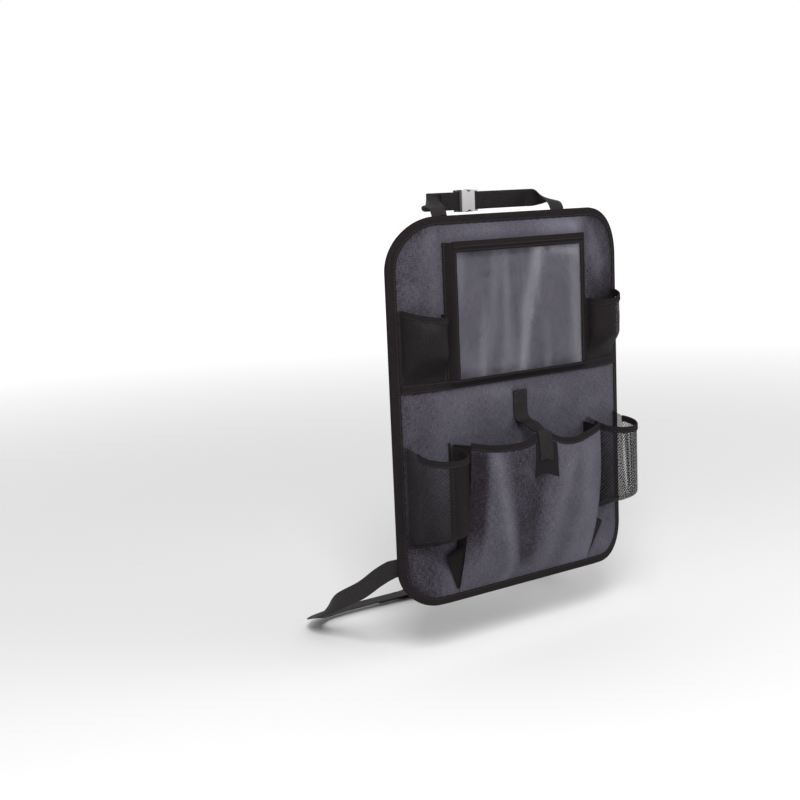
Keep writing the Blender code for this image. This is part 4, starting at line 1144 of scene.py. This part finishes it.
# %% Bottle nets
def bottle_rows(side, radius, lean):
    outer, inner = INNER_EDGE - 2 * GAP, POCKET_W / 2 + 0.007
    middle, half = side * (outer + inner) / 2, (outer - inner) / 2 - HEM
    sewn, deepest = FACE_Y - GAP - NET_T, 2 * radius + 0.002
    plan = [(-half - HEM, 0.0, -half - HEM), (-half, 0.0, -half)]
    angles = spread(205.0, -25.0, 44)
    for k, angle in enumerate(angles):
        a = math.radians(angle)
        foot = half * (2 * (k + 1) / (len(angles) + 1) - 1)
        plan.append((lean + radius * math.cos(a), radius + 0.002 + radius * math.sin(a), foot))
    plan += [(half, 0.0, half), (half + HEM, 0.0, half + HEM)]
    rows = []
    for height in spread(0.0, 0.032, 10) + spread(0.032, 0.118, 14)[1:] + [0.125, None]:
        row = []
        for k, (across, depth, foot) in enumerate(plan):
            top = BOTTLE_TOP - 0.011 * depth / deepest
            z = top if height is None else BOTTLE_BOTTOM + height
            fill = math.sin(math.pi / 2 * min(1.0, max(0.0, z - BOTTLE_BOTTOM - 0.004) / 0.028))
            x = middle + foot + (across - foot) * fill
            gather = 0.0012 * math.sin(k * 0.9) * fill * (1 - fill) * 4 * min(1.0, depth / 0.02)
            y = sewn + panel_y(x) * (1 - fill * min(1.0, depth / 0.01)) - depth * fill - gather
            row.append(Vector((x, y, z)))
        rows.append(row)
    return rows


for word, side, radius, lean in (("left", -1, 0.034, -0.006), ("right", 1, 0.031, -0.008)):
    rows = bottle_rows(side, radius, lean)
    nets.append(grid_from_rows(f"lower_{word}_net", rows, 0.190, NET_T, BOTTLE_NET, f"lower_{word}_pocket"))
    net_stitches.append(elastic_rim(f"lower_{word}_elastic_rim", rows, 0.006, f"lower_{word}_elastic"))
    net_stitches.append([on_front(point + Vector((0, 0, 0.0022)), NET_THREAD_LIFT) for point in rows[0]])
sew("net_stitches", net_stitches)


# %% [markdown]
# ## The centre pocket
# The big pocket in the middle stands out from the panel on two pleated sides. The strap above
# pulls its rim in at the middle, and from there a hollow runs down to the foot between two long
# folds. The folds are added to the pocket's surface as heights along a few lines.

# %% Surface of the pocket
RIM_KNOTS = (
    (-0.93, -0.014, -0.001), (-0.71, 0.000, -0.006), (-0.49, 0.013, -0.006), (-0.26, 0.016, -0.003),
    (-0.025, 0.009, 0.004),
    (0.20, 0.018, -0.008), (0.43, 0.019, -0.010), (0.68, 0.013, -0.006), (0.93, 0.002, -0.002),
)
rim_points = [Vector((x * POCKET_W / 2, -POCKET_D - out, POCKET_TOP + up)) for x, out, up in RIM_KNOTS]


def pocket_base(u, v):
    """The pocket's front as cut: u from left to right, v from its sewn foot to its rim."""
    foot = Vector((POCKET_W * (u - 0.5), FACE_Y - GAP - POCKET_T, POCKET_BOTTOM))
    rim = through(rim_points, u)
    x = foot.x + (rim.x - foot.x) * v**1.5
    belly = 0.006 * math.sin(math.pi * v) * 4 * u * (1 - u)
    out = 1 - (1 - v) ** 2.4
    return Vector((x, foot.y + (rim.y - foot.y) * out - belly, foot.z + (rim.z - foot.z) * v))


def fold_line(u, v, knots, width):
    """1 on a fold that runs through (v, u) knots, and 0 well beside it."""
    off = (u - at_knots(knots, v)) / width
    return math.exp(-off * off)


LEFT_FOLD = ((0.10, 0.33), (0.18, 0.30), (0.42, 0.23), (0.61, 0.19), (0.80, 0.16), (1.0, 0.14))
RIGHT_FOLD = ((0.05, 0.60), (0.30, 0.575), (0.52, 0.59), (0.74, 0.64), (0.94, 0.73))
HOLLOW = ((0.08, 0.47), (0.25, 0.425), (0.42, 0.395), (0.62, 0.375), (0.85, 0.385))
SLOPE_STEP = 0.01
HOLLOW_HALF = ((0.05, 0.040), (0.20, 0.060), (0.42, 0.092), (0.62, 0.125), (0.85, 0.160))


def in_hollow(u, v):
    """1 in the hollow between the two long folds, which narrows to a point at its foot."""
    near = fold_line(u, v, HOLLOW, at_knots(HOLLOW_HALF, v))
    return smooth_step(1.7 * near) * smooth_step((v - 0.04) / 0.12)


def pocket_fold(u, v):
    """How far a fold lifts the cloth off its cut shape, in metres."""
    free = smooth_step(v / 0.22) * smooth_step(u / 0.05) * smooth_step((1 - u) / 0.05)
    rim = 1.0 - 0.75 * smooth_step((v - 0.72) / 0.2)
    height = 0.0052 * fold_line(u, v, LEFT_FOLD, 0.045) + 0.0055 * fold_line(u, v, RIGHT_FOLD, 0.062)
    height -= 0.0060 * in_hollow(u, v) * smooth_step((0.95 - v) / 0.3)
    height += 0.0020 * near_line(u, v, (0.34, 0.80), (0.50, 0.56), 0.035)
    small = 0.0006 * ripple(u * 0.24, v * 0.21, 0.030, 23.0)
    return free * (height * rim + small)


def around(t):
    """Just before and just after a place from 0 to 1, for a slope."""
    return max(0.0, t - SLOPE_STEP), min(1.0, t + SLOPE_STEP)


def pocket_point(u, v):
    (low, high), (under, above) = around(u), around(v)
    along = pocket_base(high, v) - pocket_base(low, v)
    up = pocket_base(u, above) - pocket_base(u, under)
    return pocket_base(u, v) + along.cross(up).normalized() * pocket_fold(u, v)


def pocket_out(u, v):
    """The way out of the pocket's front at a point, and the way down it."""
    low, high = around(u)
    along = pocket_point(high, v) - pocket_point(low, v)
    down = (pocket_point(u, v - SLOPE_STEP) - pocket_point(u, v)).normalized()
    return along.cross(-down).normalized(), down


pocket_us = spread(0.0, 1.0, 72)
pocket_vs = spread(0.0, 0.06, 4) + spread(0.06, 0.95, 54)[1:] + [0.975, 1.0]
pocket_rows = [[pocket_point(u, v) for u in pocket_us] for v in pocket_vs]
print("the front stands out by", round(-min(p.y for row in pocket_rows for p in row) * 1000, 1), "mm")

# %% Front of the pocket
pocket_front = grid_from_rows("pocket_front", pocket_rows, 0.240, POCKET_T, GREY_CLOTH, "centre_pocket_front")


def pocket_painted_shading(u, v):
    """Painted light and shade: paler on the folds and to the right, darker in the hollow and along the left
    side.
    """
    value = 0.12 * fold_line(u, v, LEFT_FOLD, 0.035) + 0.06 * fold_line(u, v, RIGHT_FOLD, 0.045)
    value -= 0.17 * in_hollow(u, v)
    value += 0.05 * near_line(u, v, (0.34, 0.80), (0.50, 0.56), 0.035)
    value -= 0.25 * smooth_step((0.125 - u) / 0.05) * smooth_step((v - 0.1) / 0.4)
    value += 0.12 * smooth_step((u - 0.72) / 0.12)
    return value * smooth_step((1.02 - v) / 0.1)


from_place = {}
for u_at, column in zip(pocket_us, zip(*pocket_rows)):
    for v_at, point in zip(pocket_vs, column):
        from_place[tuple(round(a, 5) for a in point)] = pocket_painted_shading(u_at, v_at)
known = np.array(list(from_place))
values = np.array(list(from_place.values()))
painted_shading_values = []
for vert in pocket_front.data.vertices:
    nearest = int(np.argmin(((known - np.array(vert.co)) ** 2).sum(axis=1)))
    painted_shading_values.append(values[nearest])
# These values paint light and shade into the pocket's cloth.
write_value(pocket_front, "painted_shading", painted_shading_values)
pocket_rim_line = rim_tape(
    "pocket_rim_tape", pocket_rows, sheet_normals(pocket_rows), POCKET_T, 0.0097, TAPE_T, BLACK_TAPE,
    "centre_pocket_binding",
)


# %% Pleated sides
PLEAT_T = 0.0009


def gusset_point(side):
    u = 0.0 if side < 0 else 1.0
    hidden = FACE_Y - GAP

    def place(w, v):
        edge = pocket_point(u, v)
        behind = POCKET_T + (0.0019 if v > 0.9 else 0.0008)
        front = Vector((edge.x - side * 0.0015, min(edge.y + behind, hidden - 0.0002), edge.z))
        wall = Vector((side * (POCKET_W / 2 + 0.0015), hidden, edge.z))
        flare = 0.024 * min(v / 0.26, 1.0) * (1 - smooth_step((v - 0.26) / 0.07))
        point = wall.lerp(front, w)
        point.x += side * (0.001 + flare) * math.sin(math.pi * w)
        return point

    return place


for word, side in (("left", -1), ("right", 1)):
    vs = spread(0.03, 0.24, 12) + spread(0.24, 0.36, 12)[1:] + spread(0.36, 0.985, 30)[1:]
    gusset = lay_grid(
        f"{word}_pleat", spread(0.0, 1.0, 14), vs, gusset_point(side), lambda w, v: (w * 0.07, v * POCKET_H)
    )
    face_towards(gusset, (side, 0, 0))
    thicken(gusset, PLEAT_T)
    finish_piece(gusset, BLACK_CLOTH, f"centre_pocket_{word}_gusset")

pocket_stitches = [pocket_rim_line]
for u_at in (0.012, 0.988):
    side_line = []
    for v_at in spread(0.03, 0.94, 60):
        out, _ = pocket_out(u_at, v_at)
        side_line.append((pocket_point(u_at, v_at) + out * THREAD_LIFT, out))
    pocket_stitches.append(side_line)
pocket_stitches.append([on_front(pocket_point(u_at, 0.012)) for u_at in spread(0.01, 0.99, 60)])
sew("centre_pocket_stitches", pocket_stitches)

# %% [markdown]
# ## The closing strap
# A strap is sewn to the panel above the pocket. It bends over the mouth and presses onto a patch
# of loop cloth on the pocket's front. It is laid as nine columns that follow the pinched rim, so
# that it stays clear of the cloth under it.

# %% Closing strap and its patch
CLOSURE_W, CLOSURE_T, PATCH_W, PATCH_T = 0.025, 0.0013, 0.038, 0.0010
CLOSURE_TOP, CLOSURE_TURN = POCKET_TOP + 0.057, POCKET_TOP + 0.022
front_height = (pocket_base(0.5, 1.0) - pocket_base(0.5, 0.0)).length


def pocket_share(width):
    return width / (rim_points[-1] - rim_points[0]).length


def off_front(u, along, out):
    """A point this far down the front from its rim, and this far off its face."""
    v = 1.0 - along / front_height
    return pocket_point(u, v) + pocket_out(u, v)[0] * out


def closure_column(w):
    on_panel = FACE_Y - GAP - CLOSURE_T
    over = GAP + PATCH_T + GAP + CLOSURE_T
    u = 0.5 + pocket_share(CLOSURE_W / 2) * w
    x = w * CLOSURE_W / 2
    rim = pocket_point(u, 1.0)
    bend_z = 0.5 * (rim.z + CLOSURE_TURN) + 0.001
    bend = Vector((0.7 * x + 0.3 * rim.x, rim.y * 0.45 + on_panel * 0.55, bend_z))
    stops = [
        Vector((x, on_panel, CLOSURE_TOP)),
        Vector((x, on_panel, 0.6 * CLOSURE_TOP + 0.4 * CLOSURE_TURN)),
        Vector((x, on_panel, 0.2 * CLOSURE_TOP + 0.8 * CLOSURE_TURN)),
        Vector((x, on_panel - 0.0025, CLOSURE_TURN - 0.003)),
        Vector((x, on_panel - 0.010, CLOSURE_TURN - 0.008)),
        bend,
        Vector((rim.x, rim.y + 0.012, rim.z + 0.0045)),
        rim + Vector((0.0, 0.002, over + 0.0004)),
        rim + Vector((0.0, -0.6 * over, 0.75 * over)),
    ]
    stops += [off_front(u, along, over) for along in (0.0015, 0.006, 0.013, 0.022, 0.031, 0.040)]
    return [through(stops, t) for t in spread(0.0, 1.0, 5 * (len(stops) - 1))]


closure_columns = [closure_column(w) for w in spread(-1.0, 1.0, 8)]
closure_rows = [list(row) for row in zip(*closure_columns)]
grid_from_rows("closing_strap", closure_rows, CLOSURE_W, CLOSURE_T, WEBBING, "closure_strap")
patch = pocket_share(PATCH_W / 2)
patch_rows = [
    [off_front(u, along, GAP + PATCH_T) for u in spread(0.5 - patch, 0.5 + patch, 12)]
    for along in spread(0.0109, 0.062, 16)
]
grid_from_rows("loop_patch", patch_rows, PATCH_W, PATCH_T, LOOP_CLOTH, "closure_patch")


def box(x, half, high, low):
    """The corners of an upright box of stitches."""
    return [(x - half, high), (x + half, high), (x + half, low), (x - half, low)]


def box_and_cross(corners, y, out):
    """The square with a cross in it that holds a strap's sewn end, laid on the panel's sweep."""
    lines = []
    for way in ([0, 1, 2, 3, 0, 2], [1, 3]):
        line = []
        for here, there in zip(way, way[1:]):
            for f in spread(0.0, 1.0, 6):
                x, z = (a + (b - a) * f for a, b in zip(corners[here], corners[there]))
                line.append(((x, y + panel_y(x), z), (0.0, out, 0.0)))
        lines.append(line)
    return lines


closure_box = box(0.0, 0.0100, CLOSURE_TOP - 0.0025, CLOSURE_TOP - 0.0170)
sew("closing_strap_stitches", box_and_cross(closure_box, FACE_Y - GAP - CLOSURE_T - THREAD_LIFT, -1.0))


# %% [markdown]
# ## Webbing straps
# Four straps hold the panel to the seat. Each has a sewn end behind the panel, a free run, a turn
# round the bar of its buckle and a tail folded back. A strap is a long narrow grid along that
# route. The two left straps end on the plugs, which pull out.

# %% Route of a strap
WEB_W, WEB_T, TURN_R, SEWN_END = 0.025, 0.0013, 0.0025, 0.040
TAIL, LONG_TAIL = 0.026, 0.060


def smooth_route(stops, count):
    points = [Vector(point) for point, _ in stops]
    widths = [Vector(width).normalized() for _, width in stops]
    return [(through(points, t), through(widths, t)) for t in spread(0.0, 1.0, count)]


def sewn_stops(foot, away, across):
    """The sewn end: flat on the lining, then over the binding and off the edge."""
    low = 1.5 * GAP + WEB_T / 2
    high = BINDING_BACK + 1.5 * GAP + WEB_T / 2
    stops = []
    for along in (-SEWN_END, -0.030, -0.020, -0.013, -0.006, 0.0, 0.006, BINDING_W):
        point = Vector(foot) + Vector(away) * (along - BINDING_W)
        y = low if along < -0.01 else high
        stops.append((Vector((point.x, y + panel_y(point.x), point.z)), across))
    return stops


def strap_path(sewn, route, turn, pull, out, across, tail):
    turn, pull, out, across = Vector(turn), Vector(pull), Vector(out), Vector(across)
    path = [(Vector(point), Vector(width)) for point, width in sewn[:-1]]
    stops = [sewn[-1]] + route + [(turn - pull * 0.0120 + out * TURN_R, across)]
    path += smooth_route(stops, 10 * (len(stops) - 1))
    path += [(turn - pull * along + out * TURN_R, across) for along in (0.0085, 0.0040, 0.0)]
    for angle in range(15, 180, 15):
        a = math.radians(angle)
        path.append((turn + pull * TURN_R * math.sin(a) + out * TURN_R * math.cos(a), across))
    path += [(turn - pull * along - out * TURN_R, across) for along in (0.0, 0.0040, 0.0085)]
    laid = TURN_R - WEB_T - 0.0006
    for f in spread(0.0, 1.0, 14)[1:]:
        rise = smooth_step(f / 0.45)
        point = turn - pull * (0.0085 + (tail - 0.0085) * f) + out * (laid * rise - TURN_R * (1 - rise))
        path.append((point, across))
    return path


def webbing(name, path, *nodes):
    """A strap of webbing along its path, with its thickness on both sides of it."""
    half = WEB_T / 2
    frames = []
    run = 0.0
    for i, (point, across) in enumerate(path):
        ahead, behind = path[min(i + 1, len(path) - 1)][0], path[max(i - 1, 0)][0]
        along = (ahead - behind).normalized()
        across = (across - along * across.dot(along)).normalized()
        run += (point - path[i - 1][0]).length if i else 0.0
        frames.append((point, across, along.cross(across), run))

    def place(w, i):
        point, across, normal, _ = frames[i]
        return point + across * w + normal * half

    rows = list(range(len(path)))
    strap = lay_grid(name, spread(-WEB_W / 2, WEB_W / 2, 6), rows, place, lambda w, i: (frames[i][3], w))
    face_towards(strap, frames[0][2], first=6)
    thicken(strap, WEB_T, soften=0.0003, even=False)
    return finish_piece(strap, WEBBING, *nodes)


print("strap tools ready")

# %% Top straps
TOP_Y, TOP_Z = 0.058, PANEL_H / 2 + 0.0175
TOP_MOUTH_X, BASE_MOUTH_X = -0.045, -0.010
PLUG_TURN, SOCKET_TURN = -0.0083, 0.0260
edge = PANEL_H / 2
left_foot, right_foot = -0.126, 0.086
TOP_STOPS = (
    (0.010, edge + 0.010, 1.0, 0.05), (0.028, edge + 0.016, 0.95, 0.30), (0.044, TOP_Z, 0.60, 0.80),
    (0.054, TOP_Z, 0.10, 1.0), (TOP_Y + TURN_R, TOP_Z, 0.0, 1.0),
)


def top_path(foot, pull, turn_x, drifts):
    """Back from the panel's edge and on edge to the buckle. Pull is 1 or -1, the strap's way along X."""
    route = []
    for (y, z, flat, upright), drift in zip(TOP_STOPS, drifts):
        route.append(((foot + drift, y, z), (flat, 0.0, pull * upright)))
    sewn = sewn_stops((foot, 0.0, edge), (0, 0, 1), (1, 0, 0))
    return strap_path(sewn, route, (turn_x, TOP_Y, TOP_Z), (pull, 0, 0), (0, 1, 0), (0, 0, pull), TAIL)


top_left_path = top_path(left_foot, 1, TOP_MOUTH_X + PLUG_TURN, (0.002, 0.006, 0.012, 0.018, 0.028))
top_right_path = top_path(right_foot, -1, TOP_MOUTH_X + SOCKET_TURN, (0.001, 0.003, 0.0, -0.007, -0.020))
top_left = webbing("top_left_webbing", top_left_path, "upper_left_strap")
webbing("top_right_webbing", top_right_path, "upper_right_strap")


# %% Lower straps
BASE_FOOT_Z, BASE_SLOPE = 0.0595 - PANEL_H / 2, -0.12


def base_route(side):
    x, y, z, foot_z = PANEL_W / 2 + 0.016, 0.272, -PANEL_H / 2 - 0.0775, BASE_FOOT_Z
    upright = (0.0, 0.0, -side)
    sewn = sewn_stops((side * PANEL_W / 2, 0.0, foot_z), (side, 0.0, BASE_SLOPE), upright)
    route = [
        ((side * (x - 0.0095), 0.0255, foot_z - 0.0025), upright),
        ((side * (x - 0.003), 0.0460, foot_z - 0.016), upright),
        ((side * x, 0.085, foot_z - 0.042), upright),
        ((side * x, 0.140, foot_z - 0.070), (0.10, 0.0, -side)),
        ((side * (x - 0.001), 0.176, foot_z - 0.090), (0.55, 0.0, -0.8 * side)),
        ((side * (x - 0.004), 0.208, foot_z - 0.110), (1.0, 0.0, -0.15 * side)),
        ((side * (x - 0.016), 0.242, foot_z - 0.126), (0.92, 0.38 * side, 0.0)),
        ((side * (x - 0.044), 0.266, z + 0.003), (0.45, 0.9 * side, 0.0)),
        ((side * (x - 0.084), y, z + TURN_R), (0.0, side, 0.0)),
    ]
    inward, tail = (PLUG_TURN, LONG_TAIL) if side < 0 else (SOCKET_TURN, TAIL)
    turn = (BASE_MOUTH_X + inward, y, z)
    return strap_path(sewn, route, turn, (-side, 0, 0), (0, 0, 1), (0, side, 0), tail)


base_left = webbing("base_left_webbing", base_route(-1), "lower_left_strap")
webbing("base_right_webbing", base_route(1), "lower_right_strap")

# %% Stitches on the sewn ends
strap_ends = []
back_y = 1.5 * GAP + WEB_T + THREAD_LIFT
BOX_HALF, sewn_z = 0.0095, edge - 0.0345
for foot in (left_foot, right_foot):
    strap_ends += box_and_cross(box(foot, BOX_HALF, sewn_z + 0.009, sewn_z - 0.0145), back_y, 1.0)
for side in (-1, 1):
    corners = [
        (side * (PANEL_W / 2 + along - up * BASE_SLOPE), BASE_FOOT_Z + BASE_SLOPE * along + up)
        for along, up in (
            (-0.0490, -BOX_HALF), (-0.0490, BOX_HALF), (-0.0270, BOX_HALF), (-0.0270, -BOX_HALF)
        )
    ]
    strap_ends += box_and_cross(corners, back_y, 1.0)
sew("strap_end_stitches", strap_ends)

# %% Straps taken off their body
# These two pieces are taken off their body, and their place is baked into their points.
for strap_piece in (top_left, base_left):
    strap_piece.parent = None
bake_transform(top_left)
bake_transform(base_left)

# %% [markdown]
# ## Buckles
# The four halves of the buckles keep their CAD shape, which already has its bars, windows and
# rounded edges. They only get moulded plastic with a fine grain.

# %% Buckle plastic
for node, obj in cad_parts.items():
    if "buckle" in node:
        # The top socket is pale grey: this colour paints the bright reflection on its face.
        finish = PAINTED_REFLECTION_PLASTIC if node == "top_buckle_socket" else BLACK_PLASTIC
        for material_slot in obj.material_slots:
            material_slot.material = finish
print("plastic on", sum("buckle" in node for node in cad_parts), "halves")

# %% [markdown]
# ## The sheets are done

print("sheets done")

# %% [markdown]
# ## Floor and light
# The floor is pale and plain, and so is the world that the camera sees behind it. A large soft
# lamp stands on the left, a weaker one on the right, and the world fills the shadows.

# %% Floor
bpy.ops.object.select_all(action="DESELECT")
bpy.ops.mesh.primitive_grid_add(
    x_subdivisions=8, y_subdivisions=8, size=60.0, location=(0.0, 0.0, cad_low.z - 0.003)
)
floor = bpy.context.object
floor.name = "floor"
floor_paint = bpy.data.materials.new("floor_paint")
floor_paint.use_nodes = True
paint = floor_paint.node_tree
matte = paint.nodes["Principled BSDF"]
matte.inputs["Base Color"].default_value = (0.93, 0.93, 0.93, 1.0)
matte.inputs["Roughness"].default_value = 0.9
spot = put(paint, "ShaderNodeVectorMath", operation="LENGTH")
paint.links.new(put(paint, "ShaderNodeTexCoord").outputs["Object"], spot.inputs[0])
far_off = put(paint, "ShaderNodeMapRange", interpolation_type="SMOOTHSTEP")
for label, value in (("From Min", 0.5), ("From Max", 5.0), ("To Min", 0.0), ("To Max", 0.6)):
    far_off.inputs[label].default_value = value
paint.links.new(spot.outputs["Value"], far_off.inputs["Value"])
to_camera = put(paint, "ShaderNodeLightPath").outputs["Is Camera Ray"]
glow = maths(paint, "MULTIPLY", far_off.outputs[0], to_camera)
paint.links.new(glow, matte.inputs["Emission Strength"])
matte.inputs["Emission Color"].default_value = (1.0, 1.0, 1.0, 1.0)
floor.data.materials.append(floor_paint)

# %% World and lamps
world = bpy.data.worlds.new("studio")
bpy.context.scene.world = world
world.use_nodes = True
sky = world.node_tree
backdrop = sky.nodes["Background"]
backdrop.inputs["Color"].default_value = (1.0, 1.0, 1.0, 1.0)
seen = put(sky, "ShaderNodeLightPath")
direct = maths(sky, "MAXIMUM", seen.outputs["Is Camera Ray"], maths(
    sky, "MAXIMUM", seen.outputs["Is Glossy Ray"], seen.outputs["Is Transmission Ray"]
))
FILL = 0.50
sky.links.new(blend_values(sky, direct, FILL, 1.0), backdrop.inputs["Strength"])


def soft_lamp(name, place, aim, size, power):
    bpy.ops.object.select_all(action="DESELECT")
    bpy.ops.object.light_add(type="AREA", location=place)
    lamp = bpy.context.object
    lamp.name = name
    lamp.data.size = size
    lamp.data.energy = power
    lamp.rotation_mode = "QUATERNION"
    lamp.rotation_quaternion = (Vector(aim) - Vector(place)).to_track_quat("-Z", "Y")


soft_lamp("left_light", (-1.4, -1.8, 1.8), (0.0, 0.0, -0.05), 1.0, 62.0)
soft_lamp("right_fill", (1.6, -1.6, 0.9), (0.0, 0.0, 0.0), 1.4, 14.0)
bpy.context.scene.view_settings.view_transform = "Standard"
print("lamps placed")
